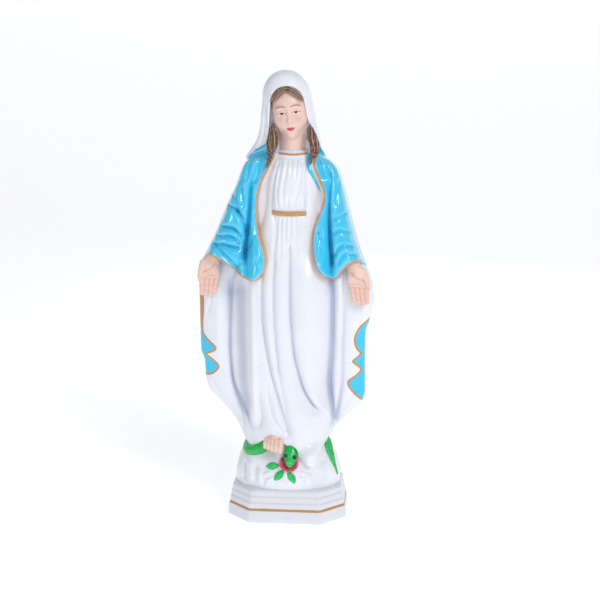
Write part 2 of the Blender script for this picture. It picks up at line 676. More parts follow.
GOWN_FOLDS = [
    # points, depth, width, ends, lift, reach, sharp
    ([(-38.6, 170), (-39.2, 140), (-39.6, 121), (-38, 96), (-32.8, 82.6), (-25.6, 69), (-23.6, 60)],
        (2.0, 2.4), 1.8),
    ([(-32, 170), (-31.5, 140), (-30.5, 115), (-29.5, 95), (-27, 80), (-24.5, 68)], (5.6, 3.6), (7.4, 4.6),
        EASE, 0, 6, 2.0),
    ([(-23, 168), (-22.4, 140), (-21.8, 114), (-21.6, 90), (-21.4, 76), (-22.6, 60)], (-1.8, -2.8),
        (2.6, 2.6), EASE, 0, 6, 2.0),
    ([(-15.4, 180), (-15.2, 143), (-13.2, 124), (-8.6, 100), (-3.1, 81), (0.7, 68), (3.0, 58)], (0.9, 2.3),
        (1.0, 2.2), (0.05, 0.05), -0.9, 4),
    ([(-4.2, 243), (-7.6, 230), (-9.2, 218), (-8.6, 208), (-7.2, 198), (-7.7, 177), (-7.6, 143),
        (-5.6, 115), (-3.7, 98), (-1.4, 84)], (1.6, 1.2), 1.0, (0.03, 0.15)),
    ([(2.6, 190), (3, 170), (3.8, 139), (6.1, 115), (11.2, 94.5), (15, 86), (18.7, 80.3), (22, 76.8),
        (25.2, 74.8)], (0.7, 1.9), (0.9, 1.9), (0.04, 0.08), -1.6, 6),
    ([(27, 176), (29.8, 156), (29.6, 123), (28, 94), (29.6, 78), (31.4, 66), (31.5, 58)], (4.2, 5.0),
        (4.6, 3.6), (0.08, 0.05)),
    ([(37.6, 158), (37.5, 134), (36.8, 114), (36.6, 92), (34.4, 78), (32.2, 66)], (0.9, 1.6), (1.5, 1.6),
        (0.2, 0.1)),
    ([(-19.2, 98), (-17.6, 82), (-16.2, 72), (-17.8, 62)], 2.2, 2.0, (0.5, 0.15)),
    ([(-13, 98), (-10.4, 80), (-6.7, 69), (0.2, 61)], 1.5, 1.3, (0.4, 0.1)),
    ([(-7.4, 84), (-3.8, 72), (2.4, 63.5)], -0.8, 1.6, (0.3, 0.3)),
    ([(-46, 160), (-47, 130), (-46, 100)], -1.3, 3.4, (0.2, 0.3)),
    ([(-50.5, 160), (-52, 148), (-54.8, 138)], 0.8, 1.0),
    ([(44.6, 148), (43.4, 120), (42, 96)], -0.9, 2.6, (0.3, 0.3)),
    ([(-54, 94), (-46, 83), (-38, 73), (-31, 62)], 1.4, 2.8),
    ([(47, 90), (42, 82), (36.5, 72)], 1.0, 1.8),
    ([(14, 54), (16.8, 47), (18.2, 38)], -8.0, 5.6, (0.5, 0), 0, 6, 2.0),
    ([(21, 56), (22.6, 49), (23.6, 42)], -2.6, 4.6, (0.5, 0), 0, 6, 2.0),
    # the bodice and its gathers above and below the belt
    ([(13.8, 243), (13.6, 217), (12.8, 208), (11.4, 196), (11.8, 172)], (1.4, 0.5), 1.0, (0.03, 0.3)),
    ([(-2.6, 243), (-3.6, 236), (-5.6, 222), (-5.0, 211)], 1.4, 0.83, (0.15, 0.05)),
    ([(0.6, 243), (0.2, 236), (-1.6, 222), (-1.4, 211)], 1.1, 0.83, (0.1, 0.05)),
    ([(3.6, 243), (3.8, 236), (3.4, 230)], 1.0, 0.77, (0.1, 0.5)),
    ([(7, 243), (6.8, 236), (6.4, 228)], 1.0, 0.77, (0.1, 0.5)),
    ([(10.6, 243), (10.4, 236), (9.6, 226), (6.6, 217), (5, 211)], 1.3, 0.88, (0.1, 0.05)),
    ([(12.8, 226), (10.6, 217), (9.4, 211)], 1.3, 0.88, (0.4, 0.05)),
    ([(2.2, 222), (1.6, 216), (1.4, 211)], 0.8, 0.77, (0.5, 0.05)),
    ([(-5.6, 205), (-6, 196), (-6.2, 180)], 1.1, 0.88, (0.02, 0.7)),
    ([(-3, 205), (-3.4, 194), (-3.6, 170)], 1.4, 0.83, (0.02, 0.7)),
    ([(-0.2, 205), (-0.4, 194), (-0.6, 178)], 1.3, 0.83, (0.02, 0.7)),
    ([(2.8, 205), (2.8, 190)], 1.1, 0.83, (0.02, 0.3)),
    ([(6.2, 205), (6.8, 194), (7.4, 172)], 1.4, 0.88, (0.02, 0.7)),
    ([(9.4, 205), (10, 194), (10.4, 182)], 1.1, 0.83, (0.02, 0.7)),
    # the collar band
    ([(-7, 247.0), (4.5, 246.0), (16, 247.0)], -1.0, 1.5, (0.0, 0.0), 0, 6, 3),
    ([(-7, 243.9), (4.5, 243.0), (16, 243.9)], 0.5, 0.8, (0.0, 0.0)),
]


def crown_between(x, z):
    """Rounded bands of cloth between the valley lines, fading out above the knees."""
    lines = [np.interp(z, *np.array(v).T) for v in VALLEYS]
    out = np.zeros_like(x)
    for a, b, rise in zip(lines[:-1], lines[1:], CROWNS):
        t = (x - a) / np.maximum(b - a, 0.5) * 2 - 1
        band = rise * np.minimum((b - a) / 7, 1) * (1 - np.minimum(np.abs(t), 1) ** 2.0) ** 0.75
        out += np.where(np.abs(t) < 1, band, 0)
    return out * smoothstep(186, 160, z) * smoothstep(40, 56, z)


def bodice(x, z):
    """The blouse swells over the belt and is drawn in under it."""
    inside = smoothstep(-9.2, -6, x) * smoothstep(14.2, 11, x)
    swell = 1.9 * np.exp(-(((z - 216) / 6.5) ** 2)) - 1.9 * np.exp(-(((z - 207.6) / 2.6) ** 2))
    return inside * (swell + 1.2 * smoothstep(244, 236, z) * smoothstep(208, 216, z))


FRONT.values += crown_between(FRONT.x, FRONT.z) + bodice(FRONT.x, FRONT.z)
FRONT.blur(2)
for row in GOWN_FOLDS:
    FRONT.fold(*row)
FRONT.values = np.maximum(FRONT.values, np.minimum(Chart(plain_front).values, 2.0))
FRONT.blur(1)
FRONT_SLOPE = slope_of(FRONT)
FINE, BROAD = deep_of(FRONT), deep_of(FRONT, 420)
TROUGH = spline([(-31.5, 175), (-31, 140), (-30.4, 115), (-30, 98), (-28.4, 84), (-25.4, 72), (-23, 64)], 2)
FRONT_DEEP = Chart(
    lambda x, z: 0.5 * FINE.values + 0.4 * BROAD.values
    + 1.7 * np.exp(-np.abs(line_field(TROUGH, x, z)[0] / 5.6) ** 2.4)
    + 0.6 * smoothstep(104, 80, z) * smoothstep(24, 36, np.abs(x)))

BACK = Chart(plain_back)
for x_top, x_low, depth, width in [
    (-20, -44, 2.6, 5.0), (-12, -27, 3.2, 4.4), (-4, -9, 2.8, 4.2),
    (5, 9, 3.2, 4.6), (13, 26, 3.0, 4.4), (21, 42, 2.4, 4.6),
]:
    line = [(x_top, 222), (0.55 * x_top + 0.45 * x_low, 160), (x_low, 96), (0.86 * x_low, 54)]
    BACK.fold(line, (0.6 * depth, depth), width, ends=(0.25, 0.0), sharp=1.3)
for line, depth, width in [
    ([(-48, 150), (-30, 132), (-6, 124), (20, 128), (44, 146)], 0.5, 8.0),
    ([(-50, 120), (-28, 100), (-2, 92), (26, 98), (46, 116)], 0.4, 8.0),
]:
    BACK.fold(line, depth, width, ends=(0.45, 0.45), sharp=2.0)
BACK.values = np.maximum(BACK.values, np.minimum(Chart(plain_back).values, 3.0))
BACK.blur(1)
BACK_SLOPE = slope_of(BACK)
BACK_DEEP = deep_of(BACK)

PATCH_RIGHT = spline([
    (-59.2, 156), (-57.6, 149), (-57.6, 140), (-58.4, 132), (-57.8, 125), (-53.6, 120), (-48.7, 115.6),
    (-51.6, 112.8), (-56.2, 110.8), (-51.6, 107.4), (-47.0, 102.8), (-51, 97.8), (-56, 96.2), (-60, 95.8)],
    1.5)
PATCH_LEFT = spline([
    (58, 139), (53.4, 134.9), (48.2, 130.2), (45.4, 123.2), (46.8, 116.4), (49.6, 113.1), (47.4, 110.4),
    (44.2, 107.8), (47.4, 104.8), (49.8, 101.8), (46.8, 98), (41.2, 93.8), (43, 88.4), (48.6, 82.3),
    (54, 77)], 1.5)
PATCHES = Chart(
    lambda x, z: -np.maximum(
        inside_field(np.vstack([PATCH_RIGHT, [(-80, 90), (-80, 156)]]), x, z),
        inside_field(np.vstack([PATCH_LEFT, [(80, 70), (80, 142)]]), x, z),
    ))
COLLAR_LINE = spline([(-4.8, 246.3), (4.5, 245.5), (13.0, 246.3)], 1.5)


def front_field(p):
    x, y, z = p
    f = (-FRONT(x, z) - y) / FRONT_SLOPE(x, z)
    f = smax(f, (front_hem(x) - z) * 0.75, 0.9)
    half, middle = edges(z)
    f = np.maximum(f, np.abs(x - middle) - half + 0.9 * smoothstep(168, 176, z))
    return np.maximum(np.maximum(f, y), z - COLLAR_TOP)


def back_field(p):
    x, y, z = p
    f = (y - BACK(x, z)) / BACK_SLOPE(x, z)
    f = smax(f, (back_hem(x) - z) * 0.9, 1.6)
    f = smin(np.maximum(f, z - 246), shoulder_field(p), 2.5)
    return np.maximum(f, -y)


GOWN = make_gown()
BLUE_PAINT = make_blue()
STRIP_LOW = 131  # the gold strip below the right hand ends here
nowhere = lambda p: np.full(p[0].shape, FAR, F)
carve("gown_front", front_field, (-64, -31, 38), (61, 2, 250), 0.5, GOWN, {
    "patch": lambda p: PATCHES(p[0], p[2]),
    "strip": lambda p: np.where(p[0] < 0, np.maximum(PATCHES(p[0], p[2]), STRIP_LOW - p[2]), FAR),
    "deep": lambda p: FRONT_DEEP(p[0], p[2]),
    "collar": lambda p: np.abs(line_field(COLLAR_LINE, p[0], p[2])[0]),
}, "gown_front_shell")
carve("mantle_back", back_field, (-64, -2, 42), (61, 31, 258), 0.6, BLUE_PAINT, {
    "deep": lambda p: BACK_DEEP(p[0], p[2]),
    "trim": lambda p: np.where(p[1] > 0.5, p[2] - back_hem(np.clip(p[0], *HEM_LEVEL)) - 1.6, FAR),
    "cream": nowhere,
    "seam": nowhere,
}, "mantle_back_shell")

# ---------------------------------------------------------------- mantle fronts
TRIM = {
    "right": [(-8.5, 244), (-11.4, 237.9), (-15.5, 230), (-17.9, 222.8), (-19.2, 213.3), (-18.5, 201.3),
        (-16.9, 193.2), (-14.1, 185.2), (-12.2, 177.1), (-13.4, 170.6), (-16.7, 166.3), (-21.6, 163.4),
        (-27.3, 165.0), (-35.4, 170.8), (-43.4, 176.0), (-50.0, 178.8), (-54.6, 177.4), (-57.6, 173.8),
        (-61, 168.6)],
    "left": [(18.8, 249), (18.5, 243.4), (18.3, 239.8), (19.2, 235.8), (21.1, 230.9), (24.3, 223.1),
             (24.7, 216), (22, 208), (18.8, 200), (17.6, 189.6), (18.5, 179.1), (20.5, 172.7),
             (24.5, 167.5), (31, 164.0), (35.8, 165.6),
             (38.7, 170.4), (42.6, 174.3), (47.6, 175.0), (51.6, 172.8), (55.2, 169.8), (60, 165.6)],
}
TURNBACK = [(13.0, 249), (13.3, 245.5), (13.7, 241.9), (14.6, 237.1), (16.4, 232.3), (19.2, 227.0),
    (23.0, 220.5)]
INNER_POINTS = {"right": 9, "left": 11}  # how many of the trim's points run down the front edge
OUTSIDE = {"right": [(-80, 168), (-80, 256), (-8, 256)], "left": [(80, 162), (80, 256), (14, 256)]}
GOLD_END = {"right": 53.4, "left": 48.6}  # the gold stops here, short of the sleeve's outer side
HEM_FROM = {"right": (-19.0, -24.0), "left": (28.0, 33.0)}  # where the front edge has turned into the hem
CREASE = {
    "right": [(-19, 243), (-22, 232), (-23.6, 222), (-24.4, 209.5), (-25.6, 197.3), (-27.2, 183),
        (-26.6, 173)],
    "left": [(26.5, 240), (29, 231), (28.6, 222), (28.4, 209), (29, 195), (30.2, 180), (30.6, 170)],
}
arm_rise = curve([(165, 12), (180, 12.5), (200, 9.5), (220, 6.5), (238, 3.5), (247, 0.5)])
lobe_rise = curve([(160, 8), (175, 8.5), (190, 7), (205, 5), (222, 3.4), (240, 2.2), (247, 0.5)])
# How much bolder the mantle's folds are made than their rows say.
BOLD_DEPTH, BOLD_WIDTH, BOLD_LIFT = 1.5, 1.15, 1.7
MANTLE_FOLDS = {  # points, depth, width, ends, lift, reach
    "right": [
        ([(-40, 214), (-37, 211.5), (-33, 209.5), (-29.4, 205.5), (-27.2, 199.7), (-26.4, 191)], 2.6, 1.3,
            (0.1, 0.2), 1.2, 3),
        ([(-44, 200), (-40.2, 198.6), (-35, 198), (-30.3, 194.5), (-28, 190)], 1.9, 1.3, EASE, -0.8, 2.5),
        ([(-47, 194), (-42.5, 192.3), (-37.4, 193), (-31.9, 190.4), (-28.7, 186.4)], 1.7, 1.2, EASE, -0.7,
            2.5),
        ([(-50, 188.6), (-46, 187.2), (-41.3, 187.4), (-34.3, 185.9), (-28.4, 185)], 1.9, 1.3, EASE, -0.8,
            3),
        ([(-50, 187.6), (-46.9, 185.6), (-42.9, 182.9), (-35.8, 175.8), (-30.3, 170.4), (-27, 168)], 1.9,
            1.3, EASE, 0.9, 2.5),
        ([(-36, 222), (-33.5, 216), (-31, 207)], 1.0, 1.2),
        ([(-30, 226), (-28.6, 218), (-27.6, 210)], 1.0, 1.1),
        ([(-16.5, 246), (-17.3, 239.5), (-18.5, 233.9), (-21.7, 225)], 1.5, 1.0),
        ([(-12.5, 242), (-15.6, 235), (-19, 228)], 1.0, 0.9),
        ([(-22.4, 245), (-24.4, 238), (-26, 228)], 1.3, 1.2),
        ([(-17.6, 198), (-16.2, 190), (-14.6, 182), (-16, 172)], 1.1, 0.8, (0.3, 0.2)),
        ([(-21.6, 202), (-20.8, 188), (-19.4, 174)], -1.3, 1.6, (0.4, 0.25)),
    ],
    "left": [
        ([(29, 203.4), (33.9, 205), (37.4, 206.8), (41, 209)], 1.4, 1.0, EASE, 0.7, 2.5),
        ([(29.6, 193.4), (33, 195.8), (37, 196.8), (40.6, 195.8), (44, 194)], 1.6, 1.1, EASE, 0.8, 2.5),
        ([(31, 178), (33.6, 183.4), (36.6, 186.3), (40.6, 187.1), (44.1, 185.9), (47, 183.8)], 1.9, 1.2,
            EASE, 0.9, 3),
        ([(34, 174), (36.5, 179), (39.6, 181.4), (43.7, 181.4), (48, 178.8)], 1.5, 1.1, EASE, 0.7, 2.5),
        ([(34.5, 232), (33.4, 222), (32.4, 212)], 1.0, 1.1),
        ([(20.4, 245.5), (22.4, 237.1), (25.6, 229)], 1.4, 1.0),
        ([(25.6, 245.2), (27.2, 239.5), (29.5, 230)], 1.3, 1.1),
        ([(30, 242), (32, 236), (32.6, 229)], 1.0, 1.0),
        ([(22.6, 199), (20.6, 191), (20.6, 181), (23, 172.6)], 1.0, 0.8, (0.2, 0.2)),
        ([(24.6, 200), (24.4, 186), (25.4, 173)], -1.0, 1.6, (0.4, 0.25)),
    ],
}
CREAM_LINE = spline([(x - 1.5, z) for x, z in TRIM["left"][:8]], 1.5)  # beside the gold, down to CREAM_LOW
CREAM_LOW = 216
SEAM = {  # where the mantle's collar is laid over its shoulders
    "right": spline([(-12.5, 250.2), (-14, 249.7), (-19.1, 247.6), (-23.7, 245.8), (-26.5, 243.6)]),
    "left": spline([(22.5, 249.5), (26, 247.2), (29.5, 244.4)]),
}
SLEEVE_ROUND = 8.0  # how far in from its outer side a sleeve begins to turn back
SLEEVE_EDGE = 0.7  # how far it still stands out there
WRISTS = {"right": (-51.2, -10.5, 178.2), "left": (46.9, -10.5, 173.4)}
HAND_TILT = {"right": 0.0, "left": 0.11}  # how far a hand leans over, as a slope


def with_defaults(row):
    return (*row, *(EASE, 0.0, 6.0)[len(row) - 3:])


def mantle_charts(side):
    """The height of a mantle front, the distance in from its outline, and the distance to its gold."""
    sign = SIDES[side]
    trim = spline(TRIM[side], 1.5)
    border = trim if side == "right" else spline(TURNBACK + TRIM[side][6:], 1.5)
    outline = np.vstack([border, OUTSIDE[side]])
    inside = Chart(lambda x, z: inside_field(outline, x, z))
    turned = Chart(lambda x, z: inside_field(np.vstack([trim, OUTSIDE[side]]), x, z))
    trim_far = Chart(lambda x, z: np.abs(line_field(trim, x, z)[0]))
    crease = np.array(CREASE[side])[::-1]
    crease_x = curve([(z, sign * x) for x, z in crease])
    inner_x = curve(sorted((z, sign * x) for x, z in TRIM[side][: INNER_POINTS[side]]))
    outer_x = right_side if side == "right" else left_side

    def height(x, z):
        s = sign * x
        xo, xc, xi = outer_x(z), crease_x(z), inner_x(z)
        arm = arm_rise(z) * round_off((s - (xo + xc) / 2) / ((xo - xc) / 2 + 0.8), 3.4)
        lobe = lobe_rise(z) * round_off((s - (xc + xi - 1.5) / 2) / ((xc - xi) / 2 + 1.6), 2.2)
        return plain_front(x, z) + 2.4 + smax(arm, lobe, 1.2)

    chart = Chart(height).blur(3)
    chart.fold(CREASE[side], (1.0, 3.2), (1.2, 1.8), ends=(0.15, 0.1))
    chart.fold(CREASE[side], (0.8, 2.4), (0.5, 0.9), ends=(0.3, 0.15))
    for points, depth, width, ends, lift, reach in (with_defaults(row) for row in MANTLE_FOLDS[side]):
        chart.fold(points, BOLD_DEPTH * depth, BOLD_WIDTH * width, ends, BOLD_LIFT * lift, reach)
    chart.values += 0.35 * np.exp(-((trim_far.values / 1.0) ** 2))
    edge = np.clip(inside.values / 2.0, 0, 1)
    plain = Chart(plain_front).values
    low = 0.4 + 0.6 * smoothstep(-1.6, 0.2, turned.values)
    chart.values = plain + (chart.values - plain) * np.sqrt(1 - (1 - edge) ** 2) * low
    half, middle = edges(chart.z)
    t = np.clip((np.abs(chart.x - middle) - half) / SLEEVE_ROUND + 1, 0, 1)
    rise = (chart.values - plain - SLEEVE_EDGE) * np.where(inside.values > 0, np.sqrt(1 - t * t), 1)
    chart.values = plain + SLEEVE_EDGE + rise
    chart.blur(1)
    # on the hem the gold is laid just above the edge
    hem = smoothstep(*HEM_FROM[side], chart.x) * smoothstep(190, 186, chart.z)
    outer = np.maximum(sign * chart.x - GOLD_END[side], 0) * (hem > 0.5)
    painted = Chart(lambda x, z: (1 - hem) * trim_far.values + hem * np.abs(inside.values - 1.5) + outer)
    return chart, inside, painted


def mantle_front(side, x0, x1):
    sign = SIDES[side]
    chart, inside, painted = mantle_charts(side)
    slope, deep = slope_of(chart), deep_of(chart)
    wx, wy, wz = WRISTS[side]
    cuff = [
        (wx - sign * 1.6, wy + 1.6, wz - 8, 5.0), (wx - sign * 3.6, wy + 1.6, wz, 4.4),
        (wx - sign * 8, wy + 2.6, wz + 8, 3.0),
    ]

    def field(p):
        x, y, z = p
        f = (-chart(x, z) - y) / slope(x, z)
        f = smax(f, -(inside(x, z) + 0.9), 0.8)
        f = np.maximum(f, z - 247)
        cape = np.maximum(shoulder_field(p), -sign * (x - 3))
        f = np.maximum(smin(f, cape, 2.0), y)
        return smax(f, -limb(p, cuff), 0.6)

    def cream(p):
        line = np.abs(line_field(CREAM_LINE, p[0], p[2])[0])
        return np.where((side == "left") & (p[2] > CREAM_LOW), line, FAR)

    carve("mantle_front_" + side, field, (x0, -34, 160), (x1, 2, 258), 0.45, BLUE_PAINT, {
        "deep": lambda p: deep(p[0], p[2]) * smoothstep(247, 242, p[2]),
        "trim": lambda p: painted(p[0], p[2]),
        "seam": lambda p: np.abs(line_field(SEAM[side], p[0], p[2])[0]),
        "cream": cream,
    })


mantle_front("right", -64, -5)
mantle_front("left", 8, 58)
WHITE_PLASTIC = make_white()
carve("veil", veil_field, (-29, -20, 227), (30, 25, 302), 0.42, WHITE_PLASTIC, {"deep": veil_deep})


# ---------------------------------------------------------------- head
EYE, BROW, NOSE_BASE, MOUTH, CHIN = 1.0, 4.9, -5.6, -9.2, -16.3
EYE_X = 4.6
FACE_FRONT = -3  # the face is painted only in front of this, in the head's own frame
NECK = (3.2, 0.2, 9.6)


def face_field(q):
    """The head in its own frame: x across, y back, z up, from the middle of the ears."""
    x, y, z = q
    m = (np.abs(x), y, z)
    f = smin(ball(q, (0, 2.5, 4.5), (11.9, 13.2, 13.6)), ball(q, (0, -1.9, -5.0), (10.3, 9.6, 11.6)), 5.0)
    f = smin(f, ball(m, (5.2, -6.4, -4.0), (4.2, 3.8, 5.4)), 3.4)  # cheeks
    f = smin(f, ball(q, (0, -8.0, CHIN + 3.3), (3.6, 3.0, 3.1)), 3.0)  # chin
    f = smin(f, ball(m, (3.8, -8.7, BROW - 0.8), (4.6, 2.1, 1.3)), 2.4)  # brow
    f = smin(f, ball(q, (0, -9.3, MOUTH + 0.1), (4.2, 2.0, 2.8)), 1.8)  # the swell of the mouth
    f = smax(f, -ball(m, (EYE_X + 0.1, -12.3, EYE + 0.4), (3.2, 2.1, 1.8)), 1.8)  # eye sockets
    nose = limb(q,
        [(0, -9.9, 4.2, 1.0), (0, -11.3, 0.6, 1.05), (0, -12.5, -3.4, 1.2),
            (0, -12.9, NOSE_BASE + 1.4, 1.3)], 0.8)
    nose = smin(nose, ball(m, (1.35, -11.5, NOSE_BASE + 1.2), (0.95, 1.4, 0.9)), 0.8)
    f = smin(f, nose, 1.2)
    f = smax(f, -ball(m, (0.8, -12.3, NOSE_BASE + 0.1), (0.45, 0.8, 0.35)), 0.35)
    eyeball = ball(m, (EYE_X, -8.1, EYE - 0.1), (2.5, 2.45, 2.1))
    f = smin(f, eyeball, 0.25)
    lid_top = smax(ball(m, (EYE_X, -8.1, EYE), (2.95, 2.85, 2.45)), upper_lid(m[0]) - z, 0.2)
    lid_low = smax(ball(m, (EYE_X, -8.1, EYE - 0.2), (2.8, 2.62, 2.3)), z - lower_lid(m[0]), 0.25)
    f = smin(smin(f, lid_top, 0.5), lid_low, 0.5)
    upper = ball(m, (0.85, -10.75, MOUTH + 0.45), (1.65, 1.1, 0.6))
    lower = ball(q, (0, -10.65, MOUTH - 0.8), (2.0, 1.2, 0.8))
    f = smin(smin(f, upper, 0.55), lower, 0.6)
    f = smax(f, -rod(m, (0, -12.0, MOUTH - 0.15), (2.9, -11.0, MOUTH + 0.22), 0.2), 0.4)
    return smax(f, -rod(q, (0, -12.4, MOUTH + 1.5), (0, -12.3, NOSE_BASE - 0.6), 0.35), 0.6)


def upper_lid(x):
    return EYE + 0.4 - 0.13 * (x - EYE_X) ** 2


def lower_lid(x):
    return EYE - 0.82 + 0.07 * (x - EYE_X) ** 2


def head_local(p):
    return local(p, HEAD_AT, HEAD_TURN)


def head_field(p):
    x, y, z = p
    nx, ny, r = NECK
    neck = np.maximum(np.hypot(x - nx - (z - 250) * -0.03, y - ny + (z - 250) * 0.12) - r, 238 - z)
    neck = np.maximum(neck, z - 266)
    return smin(face_field(head_local(p)), neck, 1.8)


def face_mark(fn):
    return lambda p: fn(*head_local(p))


def front_only(value):
    return lambda x, y, z: np.where(y < FACE_FRONT, value(x, y, z), FAR)


BROW_LINE = [(1.9, BROW - 0.3), (3.6, BROW + 0.25), (5.6, BROW + 0.3), (7.6, BROW - 0.5)]
LASH_LINE = [(2.1, EYE - 0.5), (3.2, EYE + 0.12), (4.6, EYE + 0.36), (6.0, EYE + 0.15), (7.4, EYE - 0.45)]
LOW_LINE = [(2.6, EYE - 0.72), (4.6, EYE - 0.9), (6.6, EYE - 0.7)]
CREASE_LINE = [(2.6, EYE + 0.9), (4.6, EYE + 1.55), (6.9, EYE + 0.9)]


def curve_mark(line):
    """Distance to a line that is drawn on both sides of the face."""
    points = spline(line, 0.5)
    return face_mark(front_only(lambda x, y, z: np.abs(line_field(points, np.abs(x), z)[0])))


def lips_mark(x, y, z):
    a = np.abs(x)
    top = MOUTH + 0.1 + 0.8 * np.exp(-(((a - 0.8) / 1.1) ** 2)) + 0.07 * a
    low = MOUTH - 1.5 + 0.17 * a**2
    return np.where(y < FACE_FRONT, np.maximum(np.maximum(z - top, low - z), a - 2.6), FAR)


def make_skin(name="skin_paint"):
    s = Shader(name, SKIN, rough=0.42, coat=0.08)
    s.bsdf.inputs["Subsurface Weight"].default_value = 0.05
    s.bsdf.inputs["Subsurface Radius"].default_value = (0.004, 0.0015, 0.001)
    s.bsdf.inputs["Subsurface Scale"].default_value = 1.0
    s.mottle(6, 3, 0.45, 0.75, 0.18, srgb(222, 172, 158))
    s.coat(s.ramp(s.mark("flush"), 0, 1, (0, 0.4)), srgb(224, 158, 144))
    return s


def make_face():
    s = make_skin("face_paint")
    s.coat(s.mask("brow", 0.30, 0.14, 0.1, 1.2), srgb(150, 108, 84))
    s.coat(s.mask("white", 0.0, 0.12), srgb(246, 242, 240), rough=0.25)
    s.coat(s.mask("iris", 0.0, 0.10), srgb(70, 48, 36), rough=0.15)
    s.coat(s.mask("pupil", 0.0, 0.08), srgb(14, 12, 14), rough=0.1)
    s.coat(s.mask("lash", 0.16, 0.10, 0.04, 1.0), srgb(44, 30, 26))
    s.coat(s.mask("low", 0.05, 0.10, 0.03, 1.0), srgb(170, 120, 104), strength=0.5)
    s.coat(s.mask("crease", 0.08, 0.12, 0.03, 1.0), srgb(196, 150, 132), strength=0.6)
    s.coat(s.mask("lips", 0.0, 0.14, 0.06, 0.8), srgb(208, 84, 98), rough=0.3)
    return s.finish(skin_mm=0.008, vary=0.02)


def eye_white(x, y, z):
    a = np.abs(x)
    between = np.maximum(z - upper_lid(a), lower_lid(a) - z)
    return np.where(y < FACE_FRONT, np.maximum(between, np.abs(a - EYE_X) - 2.35), FAR)


def iris(radius):
    def disc(x, y, z):
        return np.maximum(np.hypot(np.abs(x) - EYE_X, z - EYE + 0.35) - radius, eye_white(x, y, z))
    return disc


FACE_PAINT = make_face()
carve("head", head_field, (-12, -23, 236), (18, 17, 292), 0.3, FACE_PAINT, {
    "brow": curve_mark(BROW_LINE),
    "lash": curve_mark(LASH_LINE),
    "low": curve_mark(LOW_LINE),
    "crease": curve_mark(CREASE_LINE),
    "white": face_mark(eye_white),
    "iris": face_mark(iris(1.05)),
    "pupil": face_mark(iris(0.5)),
    "lips": face_mark(lips_mark),
    "flush": face_mark(lambda x, y, z: np.exp(-((np.abs(x) - 5.2) ** 2 + (z + 3.2) ** 2) / 7.0) * (y < 0)),
})


# ---------------------------------------------------------------- hair
def make_hair():
    s = Shader("hair_paint", HAIR, rough=0.34, coat=0.45)
    s.coat(s.ramp(s.mark("strand"), 0.25, 0.95, (0.0, 0.75)), HAIR_LIGHT)
    s.mottle(1.6, 4, 0.5, 0.72, 0.5, srgb(78, 54, 44))
    return s.finish(skin_mm=0.02, vary=0.03)


def along(p, stations):
    """The angle round a lock and its radius, at each height."""
    x, y, z = p
    pts = np.array(stations)[::-1]
    cx, cy, r = (np.interp(z, pts[:, 2], pts[:, i]).astype(F) for i in (0, 1, 3))
    return np.arctan2(x - cx, -(y - cy)), r


def strands(p, stations, count, twist):
    """0 in the grooves between the strands of a lock and 1 along their crests."""
    angle, _ = along(p, stations)
    wave = count * angle + twist * p[2]
    fine = 0.5 + 0.5 * np.cos(2.7 * wave + 0.9 * np.sin(0.5 * p[2]))
    return 0.72 * (0.5 + 0.5 * np.cos(wave + 0.6 * np.sin(0.4 * p[2]))) + 0.28 * fine


LOCKS = {
    "right": [(-9.2, -9.6, 265.2, 0.7), (-8.9, -10.8, 261.5, 2.2), (-8.5, -12.2, 257, 3.4),
        (-9.2, -13.4, 252.5, 3.7), (-9.8, -14.4, 249.2, 2.9), (-9.8, -15, 247.4, 1.9)],
    "left": [(15.0, -9.6, 264.6, 0.7), (15.4, -10.8, 261, 2.2), (16.4, -11.8, 257, 3.3),
        (18.2, -12.6, 252.6, 3.0), (19.2, -13.6, 249, 2.2), (19.2, -14.4, 246.2, 1.6),
        (18.6, -15.2, 243.8, 0.9)],
}
TAILS = {
    "right": [(-9.3, -15.6, 248.4, 1.9), (-9.6, -17.0, 245.6, 1.8), (-10.2, -18.0, 242.8, 1.6),
        (-11.2, -18.6, 240.2, 1.3), (-12.2, -18.8, 237.6, 0.6)],
    "left": [(15.8, -13.2, 252, 1.0), (17.2, -15.2, 247, 1.3), (16.9, -16.6, 243.4, 1.0),
        (16.2, -17.0, 240.2, 0.5)],
}
TWIST = {"right": 0.38, "left": -0.42}
HAIR_PAINT = make_hair()


def plait(p, side):
    """The crossing strands of the plait at the end of a lock."""
    angle, _ = along(p, TAILS[side])
    return np.abs(np.cos(1.25 * p[2] + np.where(angle > 0, 0.8, -0.8)))


def lock_field(side):
    def field(p):
        f = limb(p, LOCKS[side], 1.6)
        _, r = along(p, LOCKS[side])
        f = f + np.minimum(0.7, r * 0.3) * (1 - strands(p, LOCKS[side], 7, TWIST[side]))
        tail = limb(p, TAILS[side], 0.8)
        tail = tail + (0.6 if side == "right" else 0.2) * (1 - plait(p, side)) ** 1.5
        return smin(f, tail, 0.5)
    return field


for side in ("right", "left"):
    lo, hi = ((-15, -22, 235), (-3, -4, 267)) if side == "right" else ((11, -20, 238), (24, -4, 267))
    carve("hair_lock_" + side, lock_field(side), lo, hi, 0.24, HAIR_PAINT, {
        "strand": lambda p, side=side: np.where(
            p[2] > 247.5, np.clip(strands(p, LOCKS[side], 7, TWIST[side]) * 2.6 - 1.5, 0, 1),
            0.6 * plait(p, side) ** 4),
    })

FRINGE = [
    [(1.0, -13.6, 288.0, 0.8), (-1.6, -14.0, 287.0, 1.7), (-4.8, -13.6, 284.8, 2.0),
        (-7.8, -12.8, 282.0, 1.8), (-9.8, -12.0, 279.4, 0.9)],
    [(0.4, -13.6, 288.0, 0.8), (3.2, -14.0, 286.8, 1.7), (6.2, -13.6, 284.8, 2.0), (8.8, -12.8, 282.5, 1.7),
        (10.6, -12.0, 280.4, 0.9)],
]
FRINGE_RIPPLE = 4.6  # how close together its strands are
FRINGE_Y = -12.6
FRINGE_STRETCH = 0.62  # the lobes are deeper from front to back than they are high


